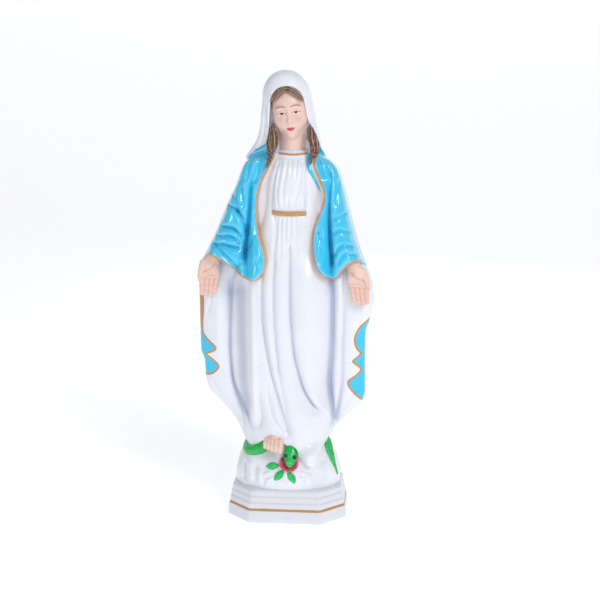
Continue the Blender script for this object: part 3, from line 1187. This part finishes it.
def fringe_lines(p):
    for lobe in FRINGE:
        line = np.array(lobe)
        d, share = line_field(spline(line[:, [0, 2]], 0.8), p[0], p[2])
        yield lobe, d, share


def fringe_field(p):
    out = None
    for lobe, d, share in fringe_lines(p):
        q = (p[0], (p[1] - FRINGE_Y) * FRINGE_STRETCH, p[2])
        f = limb(q, [(x, (y - FRINGE_Y) * FRINGE_STRETCH, z, r) for x, y, z, r in lobe], 1.2)
        f = f + 0.32 * (0.5 - 0.5 * np.cos(d * FRINGE_RIPPLE)) ** 1.3
        out = f if out is None else smin(out, f, 0.4)
    parting = np.array(sorted({(x, z) for lobe in FRINGE for x, _, z, _ in lobe}))
    q = head_local(p)
    cap = ball(q, (0, 2.5, 4.5), (12.2, 13.8, 14.4))
    return smin(out, np.maximum(cap, np.interp(p[0], parting[:, 0], parting[:, 1]) + 0.4 - p[2]), 0.4)


def fringe_strand(p):
    near = np.full_like(p[0], 99)
    out = np.zeros_like(p[0])
    for _, d, share in fringe_lines(p):
        v = np.clip(1.5 * (0.5 + 0.5 * np.cos(d * FRINGE_RIPPLE + 0.4 * np.sin(9 * share))) - 0.6, 0, 1)
        out = np.where(np.abs(d) < near, v, out)
        near = np.minimum(near, np.abs(d))
    return out


carve("hair_fringe", fringe_field, (-13, -19, 275), (15, -5, 291), 0.25, HAIR_PAINT,
      {"strand": fringe_strand})


# ---------------------------------------------------------------- hands and foot
LIFE_LINE = [(-3.6, -4.2), (-1.9, -6.8), (0.9, -8.6), (4.0, -9.8)]  # across the palm and down it
HEART_LINE = [(-4.6, -12.2), (-1.0, -12.0), (3.4, -13.0)]
FINGERS = [(-4.2, 0.82), (-1.0, 1.0), (2.2, 1.0), (5.3, 0.93)]  # place across, share of the length
FINGER_LENGTH = 11.6
FINGER_ROOT = 14.6  # how far below the wrist the fingers begin
FINGER_CLOSE = 0.14  # how much nearer together they are at their tips
KNUCKLES = (0.0, 0.36, 0.68)


def pad(p, centre, radii, power=2.8):
    """A cushion: an ellipsoid with squarer shoulders."""
    k = sum((np.abs(p[i] - centre[i]) / radii[i]) ** power for i in range(3)) ** (1 / power)
    return (k - 1) * min(radii)


def upright(p, wrist, tilt):
    """Points as seen by a hand that hangs straight down."""
    return p[0] + tilt * (p[2] - wrist[2] + 12), p[1], p[2]


def finger_point(wrist, lean, outward, place, share, t):
    x0, y0, z0 = wrist
    x = x0 + outward * place * (1 - FINGER_CLOSE * t) + lean * t
    return x, y0 - 1.5 - 0.9 * math.sin(math.pi * t), z0 - FINGER_ROOT - t * FINGER_LENGTH * share


def hand_field(wrist, lean, outward, tilt):
    x0, y0, z0 = wrist
    at = lambda o, y, h: (x0 + outward * o, y0 + y, z0 + h)

    def field(p):
        p = upright(p, wrist, tilt)
        f = limb(p, [(*at(-5.5, 1, 6), 3.8), (*at(-2.0, 0.2, 0), 4.4), (*at(0, -0.4, -5), 4.8)], 2.0)
        f = smin(f, pad(p, at(0.2, -0.2, -8.6), (7.1, 2.8, 7.6)), 1.6)
        f = smin(f, ball(p, at(1.6, -2.0, -4.4), (4.0, 2.2, 3.9)), 0.9)  # ball of the thumb
        f = smin(f, ball(p, at(-3.6, -1.9, -9.6), (2.9, 1.6, 4.2)), 1.2)
        f = smin(f, ball(p, at(0.6, -2.0, -13.2), (5.4, 1.4, 1.6)), 0.9)
        for place, share in FINGERS:
            for start, end, r in ((-0.12, 0.30, 1.72), (0.42, 0.62, 1.66), (0.74, 0.92, 1.5)):
                a, b = (finger_point(wrist, lean, outward, place, share, t) for t in (start, end))
                f = smin(f, rod(p, a, b, r), 0.35)
        thumb = limb(p, [
            (*at(4.6, -1.6, -4), 2.2), (*at(6.1, -2.4, -9.6), 1.9), (*at(6.7, -2.6, -13.0), 1.6),
            (*at(6.7, -2.5, -15.6), 1.3)], 0.6)
        f = smin(f, thumb, 0.8)
        across, down = outward * (p[0] - x0), p[2] - z0
        for line, depth in ((LIFE_LINE, 0.45), (HEART_LINE, 0.22)):
            d = line_field(spline(line, 1.0), across, down)[0]
            f = f + depth * np.exp(-((d / 0.45) ** 2)) * (p[1] < y0)
        return f
    return field


def hand_flush(wrist, lean, outward, tilt):
    """The red in the creases of the palm and between and across the fingers."""
    x0, y0, z0 = wrist

    def flush(p):
        p = upright(p, wrist, tilt)
        across, down = outward * (p[0] - x0), p[2] - z0
        out = 0.9 * np.exp(-((line_field(spline(LIFE_LINE, 1.0), across, down)[0] / 0.65) ** 2))
        heart = line_field(spline(HEART_LINE, 1.0), across, down)[0]
        out = np.maximum(out, 0.4 * np.exp(-((heart / 0.5) ** 2)))
        gap = np.full_like(across, FAR)
        for place, share in FINGERS:
            t = np.clip((z0 - FINGER_ROOT - p[2]) / (FINGER_LENGTH * share), 0, 1)
            near = np.abs(p[0] - (x0 + outward * place * (1 - FINGER_CLOSE * t) + lean * t))
            gap = np.minimum(gap, near)
            for knuckle in KNUCKLES:
                fold = np.exp(-(((t - knuckle) * FINGER_LENGTH * share / 0.45) ** 2))
                fold = fold * (near < 1.7) * (down < -14)
                out = np.maximum(out, 0.7 * fold)
        between = smoothstep(1.1, 1.6, gap) * smoothstep(-FINGER_ROOT, -FINGER_ROOT - 1, down)
        return np.maximum(out, between) + 0.35 * smoothstep(-5, -13, down)
    return flush


HAND_SKIN = make_skin().finish(skin_mm=0.01, vary=0.02)
for side, lean, outward, lo, hi in (
    ("right", -1.2, -1, (-63, -20, 148), (-40, -3, 190)), ("left", 0.5, 1, (36, -20, 142), (58, -3, 185)),
):
    carve("hand_" + side, hand_field(WRISTS[side], lean, outward, HAND_TILT[side]), lo, hi, 0.3, HAND_SKIN,
          {"flush": hand_flush(WRISTS[side], lean, outward, HAND_TILT[side])})

TOES = [(-13.0, 1.3, 0.0, 53.2), (-10.8, 1.42, 0.4, 52.3), (-8.4, 1.5, 0.7, 51.6), (-5.8, 1.6, 0.8, 51.1),
    (-2.8, 1.95, 0.5, 50.7)]
CLEFTS = [-12.05, -9.65, -7.1, -4.3]


def foot_field(p):
    f = limb(p, [(-7.4, -12, 58.5, 6.0), (-7.6, -19, 58.2, 5.6), (-7.7, -23.5, 56.4, 4.8)], 3.0)
    f = smin(f, ball(p, (-4.0, -21, 57), (3.0, 5, 3.8)), 2.0)
    for x, r, out, tip in TOES:
        toe = limb(p, [
            (x * 0.92 - 0.6, -23, 57.6, r), (x, -27.0 - out, 56.8, r), (x, -28.6 - out, tip + 2.6, r),
            (x, -28.9 - out, tip, r * 0.95)], 0.6)
        f = smin(f, toe, 0.3)
        f = smax(f, -ball(p, (x, -29.7 - out - r * 0.72, tip), (r * 0.55, 0.5, 0.9)), 0.3)
    return f


def foot_flush(p):
    return sum(np.exp(-(((p[0] - c) / 0.32) ** 2)) for c in CLEFTS) * smoothstep(-24, -27, p[1])


carve("foot_right", foot_field, (-17, -34, 46), (4, -5, 66), 0.3, HAND_SKIN, {"flush": foot_flush})


# ---------------------------------------------------------------- belt
belt_front = lambda x: FRONT(x, np.full_like(x, 208.0))


def belt_field(p):
    x, y, z = p
    sag = 0.012 * (x - 3) ** 2 * 0.5
    face = -belt_front(x) - 1.35
    outline = np.maximum(np.abs(x - 1.7) - 11.1, np.abs(z - 207.2 - sag) - 1.45)
    f = smax(outline, face - y, 0.9)
    return np.maximum(f, y - face - 4)


def make_gold():
    s = Shader("gold_paint", GOLD, rough=0.36, coat=0.1)
    s.bsdf.inputs["Metallic"].default_value = 0.15
    s.mottle(2.4, 5, 0.42, 0.7, 0.5, srgb(222, 178, 124))
    s.mottle(1.1, 3, 0.6, 0.75, 0.45, srgb(150, 104, 60))
    return s.finish(skin_mm=0.03, vary=0.02)


GOLD_PAINT = make_gold()
carve("belt", belt_field, (-10, -24, 204), (16, -8, 212), 0.25, GOLD_PAINT)


# ---------------------------------------------------------------- mound, plinth and bottom plate
mound_x = curve([(22.4, 36.1), (23.4, 36.0), (25, 36.0), (29, 35.9), (34, 35.0), (40, 33.0), (46, 30.4),
    (52, 26), (58, 19), (63, 10)])
mound_y = curve([(22.4, 26.7), (23.4, 26.8), (25, 27.0), (29, 27.0), (34, 26.5), (40, 25.0), (46, 22.0),
    (52, 18), (58, 12), (63, 7)])


def plain_mound(x, z):
    t = np.abs(x) / mound_x(z)
    return mound_y(z) * (1 - np.minimum(t, 1) ** 2.3) ** (1 / 2.3) - np.maximum(t - 1, 0) * 60


MOUND_STEP = 0.3
MOUND_FRONT = Chart(plain_mound, MOUND_BOX, MOUND_STEP)
for points, depth, width in [
    ([(-24.5, 42), (-23.6, 34), (-23.2, 25)], -0.7, 1.6), ([(-20, 40), (-20, 31), (-20.6, 24)], 0.5, 1.4),
    ([(-16.5, 37), (-17, 30), (-17.6, 24)], -0.6, 1.5), ([(-28.6, 40), (-28, 32), (-28, 25)], 0.6, 1.6),
    ([(24, 44), (25.5, 36), (25, 26)], 0.5, 2.4), ([(20, 40), (21, 32), (20.4, 25)], -0.9, 3.4),
    ([(-14.0, 30.6), (-13.3, 33.2), (-10.6, 34.4), (-8.4, 33)], -0.75, 0.7),
    ([(-13.4, 27.4), (-11, 29.6), (-8, 30.6)], -0.7, 0.7),
    ([(-13.4, 24.6), (-11.6, 27.2), (-8.8, 28)], -0.5, 0.6),
    ([(9.6, 34.8), (13.2, 35.0), (16.4, 33), (18.4, 30)], -0.75, 0.75),
    ([(9.8, 32.4), (12.6, 31), (14.4, 27.6)], -0.7, 0.7),
    ([(-6, 29), (0, 27.2), (6, 28.4)], -0.4, 2.2),
]:
    MOUND_FRONT.fold(points, 1.7 * depth, 1.1 * width, ends=(0.25, 0.25))
MOUND_FRONT.blur(1)
PLAIN_MOUND = Chart(plain_mound, MOUND_BOX, MOUND_STEP)
MOUND_DEEP = Chart(lambda x, z: PLAIN_MOUND.values - MOUND_FRONT.values, MOUND_BOX, MOUND_STEP)


def lumps(p, size):
    x, y, z = (v / size for v in p)
    a = np.sin(x + 1.3 * np.sin(0.9 * y + 0.5))
    return a * np.sin(1.1 * y + 1.7 + np.sin(0.8 * z)) * np.sin(1.2 * z + 0.4 + np.sin(x))


def mound_field(p):
    x, y, z = p[0] + 0.3, p[1], p[2]
    rx, ry = mound_x(z), mound_y(z)
    k = ((np.abs(x) / rx) ** 2.3 + (np.abs(y) / ry) ** 2.3) ** (1 / 2.3)
    f = (k - 1) * np.minimum(rx, ry) * 0.85
    relief = np.clip(MOUND_FRONT(x, z) - plain_mound(x, z), -2, 2) * smoothstep(-8, -15, y)
    rock = lumps(p, 3.6) * 0.9 * smoothstep(-6, 4, y) + lumps(p, 5.2) * 0.35
    f = f - (relief + rock) * smoothstep(22.6, 26, z)
    return np.maximum(np.maximum(f, 22.4 - z), z - 62)


carve("rock_mound", mound_field, (-39, -31, 21), (39, 31, 64), 0.5, WHITE_PLASTIC,
      {"deep": lambda p: np.where(p[1] < -6, MOUND_DEEP(p[0], p[2]), 0)})

PLINTH = (40.2, 31.0, 16.0)  # half width, half depth, corner


def octagon(inset, corner_radius=1.1):
    """Points round a chamfered rectangle with softened corners."""
    w, d = PLINTH[0] - inset, PLINTH[1] - inset
    c = PLINTH[2] - inset * (2 - math.sqrt(2))
    corners = np.array([(w, -d + c), (w, d - c), (w - c, d), (-w + c, d), (-w, d - c), (-w, -d + c),
        (-w + c, -d), (w - c, -d)])
    out = []
    for before, at, after in zip(np.roll(corners, 1, 0), corners, np.roll(corners, -1, 0)):
        a, b = at - before, after - at
        a, b = a / np.linalg.norm(a), b / np.linalg.norm(b)
        start, end = at - a * corner_radius, at + b * corner_radius
        for t in np.linspace(0, 1, 5):
            out.append((1 - t) ** 2 * start + 2 * t * (1 - t) * at + t * t * end)
        run = np.linalg.norm(after - at) - 2 * corner_radius
        n = 14 if np.abs(after - at).min() < 1e-6 else 6
        out.extend(end + b * run * t for t in (np.arange(1, n) / n))
    return np.array(out)


def plinth_profile():
    """(inset, height) down the outside of the tiers, from the rim of the underside to the top."""
    out = [(2.0, 2.6), (1.95, 0.25), (1.8, 0.05), (1.5, 0.0)]
    out += [(0.6, 0.05), (0.1, 0.3), (-0.25, 0.75), (-0.4, 1.3), (-0.3, 3.0), (0.1, 6.0), (0.42, 8.2),
        (0.5, 8.6), (0.7, 8.95), (0.95, 9.2)]
    for inset, z, rise in ((1.05, 9.6, 4.0), (1.95, 14.2, 3.6), (2.7, 18.5, 3.2)):
        out += [(inset + 0.06, z + 0.25), (inset + 0.12, z + 0.8), (inset + 0.22, z + rise - 0.8),
                (inset + 0.3, z + rise - 0.3), (inset + 0.5, z + rise + 0.05),
                (inset + 0.8, z + rise + 0.3)]
    out += [(3.9, 22.45), (5.5, 22.55)]
    return out


def make_plinth():
    profile = plinth_profile()
    points, faces = [], []
    rings = [octagon(inset) for inset, _ in profile]
    n = len(rings[0])
    for ring, (_, z) in zip(rings, profile):
        points += [(x, y, z) for x, y in ring]
    for r in range(len(rings) - 1):
        for i in range(n):
            j = (i + 1) % n
            faces.append((r * n + i, r * n + j, (r + 1) * n + j, (r + 1) * n + i))
    faces.append(tuple(range(n))[::-1])
    top = (len(rings) - 1) * n
    faces.append(tuple(range(top, top + n)))
    place("plinth", points, faces, PLINTH_PAINT)


def make_plinth_paint():
    s = Shader("white_plinth", srgb(228, 230, 238), rough=0.32, coat=0.12)
    specks(s)
    z = s.add("ShaderNodeSeparateXYZ")
    s.link(s.place, z.inputs[0])
    off = s.math("ABSOLUTE", s.math("SUBTRACT", z.outputs[2], 9.45 * MM))
    off = s.math("ADD", off, s.math("MULTIPLY", s.math("SUBTRACT", s.noise(9, 3), 0.5), 0.5 * MM))
    s.coat(s.ramp(off, 0.95 * MM, 0.65 * MM), GOLD, rough=0.36)
    return s.finish()


PLINTH_PAINT = make_plinth_paint()
make_plinth()


# ---------------------------------------------------------------- serpent, rose and leaves
def make_green():
    s = Shader("green_paint", GREEN, rough=0.24, coat=0.2)
    s.mottle(3, 4, 0.45, 0.75, 0.4, srgb(26, 178, 84))
    s.mottle(1.3, 4, 0.52, 0.7, 0.5, srgb(12, 120, 56))
    s.coat(s.ramp(s.mark("streak"), 0.2, 0.9, (0, 0.7)), srgb(150, 224, 168))
    s.coat(s.ramp(s.mark("dark"), 0.2, 0.9, (0, 0.8)), srgb(10, 96, 44))
    return s.finish(skin_mm=0.03, vary=0.02)


GREEN_PAINT = make_green()
SERPENT_HEAD = ((3.9, -25.8, 46.9), turn("y", 9) @ turn("x", -22))
SERPENT_EYES = {"right": (-3.1, -1.1), "left": (3.1, -1.1)}  # across and up in the head's own frame


def serpent_head_field(p):
    q = local(p, *SERPENT_HEAD)
    f = ball(q, (0.0, 0, 0.8), (5.0, 4.0, 6.9))
    f = smin(f, ball(q, (0.4, -0.2, -4.6), (2.9, 3.2, 3.9)), 2.6)
    f = smin(f, limb(p, [(2.0, -14, 58, 3.0), (2.2, -19, 57, 3.0), (3.0, -22.5, 53.5, 3.4)], 2.0), 2.0)
    f = smin(f, ball(q, (0.1, -3.0, -2.4), (1.2, 1.4, 3.4)), 1.2)  # the ridge of the snout
    for ex, ez in SERPENT_EYES.values():
        f = smin(f, ball(q, (ex, -2.8, ez + 0.8), (2.1, 1.3, 1.9)), 1.0)
        f = smax(f, -ball(q, (ex, -4.6, ez), (1.55, 1.3, 1.55)), 0.4)
    for sx in (-1.0, 0.7):
        f = smax(f, -ball(q, (sx, -4.0, -5.6), (0.35, 0.8, 0.35)), 0.2)
    mouth = line_field(spline([(-3.6, -1.6), (-2.6, -5.6), (-0.3, -7.9), (2.0, -5.8), (3.2, -2)], 0.8),
        q[0], q[2])[0]
    return f + 0.3 * np.exp(-((mouth / 0.3) ** 2)) * (q[1] < 0.5)


def head_streak(p):
    q = local(p, *SERPENT_HEAD)
    nostril = np.minimum(np.hypot(q[0] + 1.0, q[2] + 5.6), np.hypot(q[0] - 0.7, q[2] + 5.6))
    return np.where(q[1] < 0, np.exp(-((nostril / 0.55) ** 2)), 0)


def head_dark(p):
    line = np.abs(line_field(spline([(-0.4, 56.4), (3.4, 54.6), (6.6, 51.8), (8.4, 48)], 1), p[0], p[2])[0])
    return np.exp(-((line / 0.45) ** 2))


carve("serpent_head", serpent_head_field, (-3, -35, 37), (12, -11, 63), 0.28, GREEN_PAINT,
      {"streak": head_streak, "dark": head_dark})

def smooth_stations(stations):
    return [tuple(s) for s in spline(stations, 2.2)]


SERPENT_BODY = smooth_stations([
    (-24, 9, 49.6, 2.6), (-27.2, 1, 47.2, 3.4), (-26.6, -8, 45.2, 4.0), (-22.8, -14, 45.8, 4.1),
    (-17.6, -18.2, 48.8, 3.9), (-12.4, -20.2, 52.6, 3.2), (-8, -18, 55, 2.6)])
SERPENT_TAIL = smooth_stations([
    (27.4, -6.4, 53.6, 1.4), (28.0, -8.8, 50.4, 2.3), (29.2, -11.4, 46.8, 2.1), (30.8, -12.4, 42.6, 1.6),
    (32.3, -12, 37, 1.1), (34.3, -10.8, 29.6, 0.6)])


def scales(p, pitch=1.7):
    a = np.sin(math.pi * (p[0] + p[2]) / pitch)
    b = np.sin(math.pi * (p[0] - p[2] + 0.6 * p[1]) / pitch)
    return np.exp(-((np.minimum(np.abs(a), np.abs(b)) / 0.28) ** 2))


def serpent_body_field(p):
    return limb(p, SERPENT_BODY, 0.8) + 0.12 * scales(p)


def serpent_tail_field(p):
    return limb(p, SERPENT_TAIL, 0.6) + 0.08 * scales(p, 1.3)


def tail_streak(p):
    x = np.interp(p[2], [27, 33, 42, 50], [34.6, 32.8, 29.6, 27])
    return 0.8 * np.exp(-(((p[0] - x) / 0.45) ** 2))


carve("serpent_body", serpent_body_field, (-34, -27, 38), (-4, 14, 60), 0.35, GREEN_PAINT,
      {"streak": lambda p: 0.3 * scales(p)})
carve("serpent_tail", serpent_tail_field, (18, -20, 25), (38, -5, 62), 0.3, GREEN_PAINT,
      {"streak": tail_streak})


def make_eye():
    s = Shader("black_paint", BLACK, rough=0.12, coat=0.5)
    s.coat(s.mask("glint", 0.25, 0.2), srgb(84, 52, 64))
    return s.finish(skin_mm=0.01, vary=0.0)


EYE_PAINT = make_eye()


def eye_local(p, side):
    ex, ez = SERPENT_EYES[side]
    q = local(p, *SERPENT_HEAD)
    return q[0] - ex, q[1] + 3.1, q[2] - ez


def eye_field(side):
    def field(p):
        x, y, z = eye_local(p, side)
        ring = np.hypot(np.hypot(x, z) - 1.05, y + 0.7) - 0.32
        return smin(ball((x, y, z), (0, 0, 0), (1.4, 1.15, 1.4)), ring, 0.25)
    return field


for side, (ex, ez) in SERPENT_EYES.items():
    middle = np.array(SERPENT_HEAD[0]) + SERPENT_HEAD[1] @ np.array((ex, -3.1, ez))
    carve("serpent_eye_" + side, eye_field(side), middle - 2.4, middle + 2.4, 0.16, EYE_PAINT,
          {"glint": lambda p, side=side: np.hypot(eye_local(p, side)[0] - 0.15, eye_local(p, side)[2] - 0.1)})


def make_rose():
    s = Shader("rose_paint", ROSE, rough=0.3, coat=0.2)
    s.mottle(2, 4, 0.45, 0.7, 0.5, srgb(228, 104, 134))
    s.coat(s.ramp(s.mark("edge"), 0.2, 0.9, (0, 0.7)), srgb(240, 170, 186))
    s.coat(s.ramp(s.mark("dark"), 0.2, 1.0, (0, 0.8)), srgb(140, 28, 56))
    return s.finish(skin_mm=0.03, vary=0.02)


PETALS = [(-184, 5.2, 2.6), (-156, 5.6, 2.7), (-126, 5.7, 2.8), (-94, 5.6, 2.8), (-62, 5.7, 2.8),
    (-30, 5.8, 2.6), (-4, 5.4, 2.3)]
ROSE_AT = (2.6, -26.4, 42.3)


def petal_frames(p):
    for angle, reach, size in PETALS:
        a = math.radians(angle)
        centre = (ROSE_AT[0] + reach * math.cos(a), ROSE_AT[1], ROSE_AT[2] + reach * 0.98 * math.sin(a))
        yield local(p, centre, turn("y", -angle)), size


def rose_field(p):
    f = ball(p, (2.6, -24.8, 42.1), (5.6, 3.6, 5.4))
    for q, size in petal_frames(p):
        petal = ball(q, (-0.5, 0, 0), (1.7, 3.2, size))
        petal = smax(petal, -ball(q, (-0.7, -3.6, 0), (0.8, 1.8, size * 0.7)), 0.5)
        f = smin(f, petal, 0.3)
    return f


def rose_dark(p):
    inner = np.hypot(p[0] - 2.8, p[2] - 42.9)
    return np.exp(-((np.clip(inner - 4.0, 0, 9) / 1.3) ** 2))


def rose_edge(p):
    out = np.zeros_like(p[0])
    for q, size in petal_frames(p):
        rim = np.abs(np.sqrt(((q[0] + 0.5) / 1.7) ** 2 + (q[2] / size) ** 2) - 0.9)
        out = np.maximum(out, np.exp(-((rim / 0.08) ** 2)) * (q[0] > 0))
    return out


carve("rose", rose_field, (-7, -32, 35), (14, -18, 52), 0.28, make_rose(),
      {"edge": rose_edge, "dark": rose_dark})

LEAVES = {
    "rose_leaf_right": (-8.4, 38.6, 4.7, 2.6, -6),
    "rose_leaf_lower_right": (-4.0, 32.6, 5.0, 2.7, -47),
    "rose_leaf_lower_left": (4.4, 31.4, 5.0, 2.6, 60),
}


def leaf_frame(p, leaf):
    x, z, length, width, tilt = leaf
    y = -float(MOUND_FRONT(np.array([x], F), np.array([z], F))[0])
    return local(p, (x, y - 0.3, z), turn("y", tilt))


def leaf_vein(q):
    rib = np.exp(-((q[2] / 0.28) ** 2))
    side = np.exp(-(((np.abs(q[2]) * 1.1 + q[0] * 1.0) % 1.7 - 0.85) / 0.2) ** 2) * (np.abs(q[2]) > 0.3)
    return np.maximum(rib, 0.8 * side)


def leaf_field(leaf):
    length, width = leaf[2:4]

    def field(p):
        q = leaf_frame(p, leaf)
        t = np.clip(np.abs(q[0]) / length, 0, 1)
        wide = width * (1 - t**1.8) ** 0.75
        side = (np.abs(q[2]) - wide) * 0.8
        surface = -1.0 + 0.25 * np.abs(q[2]) + 0.05 * q[0] ** 2 - 0.14 * leaf_vein(q) - q[1]
        f = smax(side, surface, 0.7)
        return np.maximum(np.maximum(f, q[1] - 1.8), np.abs(q[0]) - length)

    return field


def vein_mark(leaf):
    return lambda p: 0.8 * leaf_vein(leaf_frame(p, leaf)) * (lumps(p, 0.8) > -0.15)


for name, leaf in LEAVES.items():
    x, z = leaf[:2]
    lo, hi = (x - 6, -32, z - 6), (x + 6, -18, z + 6)
    carve(name, leaf_field(leaf), lo, hi, 0.25, GREEN_PAINT, {"streak": vein_mark(leaf)})


# ---------------------------------------------------------------- floor, light and camera
def stage_floor():
    mesh = bpy.data.meshes.new("floor")
    n, size = 40, 3.0
    pts, faces = [], []
    for j in range(n + 1):
        t = j / n
        y, z = -size + (size + 1.0) * min(1, t * 2), 0.0
        if t > 0.5:
            a = (t - 0.5) * math.pi
            y, z = 1.0 + 0.9 * math.sin(a), 0.9 * (1 - math.cos(a))
        for x in (-size, size):
            pts.append((x, y, z))
    for j in range(n):
        faces.append((2 * j, 2 * j + 1, 2 * j + 3, 2 * j + 2))
    mesh.from_pydata(pts, [], faces)
    mesh.shade_smooth()
    obj = add_object("floor", mesh)
    m = bpy.data.materials.new("floor_paper")
    m.use_nodes = True
    b = m.node_tree.nodes["Principled BSDF"]
    b.inputs["Base Color"].default_value = (0.93, 0.93, 0.94, 1)
    b.inputs["Roughness"].default_value = 0.9
    b.inputs["Emission Color"].default_value = (1, 1, 1, 1)
    b.inputs["Emission Strength"].default_value = 0.52
    mesh.materials.append(m)


def aim(obj, direction):
    obj.rotation_euler = Vector(direction).to_track_quat("-Z", "Y").to_euler()


def area_light(name, at, target, size, power, colour=(1, 1, 1)):
    light = bpy.data.lights.new(name, "AREA")
    light.shape = "RECTANGLE"
    light.size, light.size_y = size
    light.energy = power
    light.color = colour
    obj = add_object(name, light)
    obj.location = at
    aim(obj, np.array(target) - np.array(at))


def set_camera():
    azimuth, elevation, distance = math.radians(5), math.radians(10), 0.72
    target = np.array((0.0078, 0.0, 0.147757))
    level = math.cos(elevation)
    back = np.array((math.sin(azimuth) * level, -math.cos(azimuth) * level, math.sin(elevation)))
    cam = bpy.data.cameras.new("camera")
    cam.lens, cam.sensor_width, cam.sensor_fit = 63.961, 36.0, "HORIZONTAL"
    cam.clip_start, cam.clip_end = 0.01, 20
    obj = add_object("camera", cam)
    obj.location = target + distance * back
    aim(obj, -back)
    bpy.context.scene.camera = obj


stage_floor()
area_light("key", (0.62, -0.82, 0.95), (0, 0, 0.22), (0.32, 0.60), 6.3)
area_light("fill", (-0.80, -0.70, 0.45), (0, 0, 0.2), (0.10, 0.40), 0.95, (0.93, 0.96, 1))
area_light("front", (0.2, -1.25, 0.7), (0, 0, 0.26), (0.6, 0.6), 1.1)
area_light("top", (0.1, 0.0, 1.1), (0, 0, 0.15), (0.7, 0.7), 0.8)
area_light("back", (0.1, 0.95, 0.6), (0, 0, 0.15), (0.9, 0.9), 0.6)
world = bpy.data.worlds.new("world")
world.use_nodes = True
world.node_tree.nodes["Background"].inputs[0].default_value = (0.95, 0.97, 1.0, 1)
world.node_tree.nodes["Background"].inputs[1].default_value = 0.30
bpy.context.scene.world = world
bpy.context.scene.view_settings.view_transform = "Standard"
set_camera()

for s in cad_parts["bottom_plate"].material_slots:
    s.material = WHITE_PLASTIC
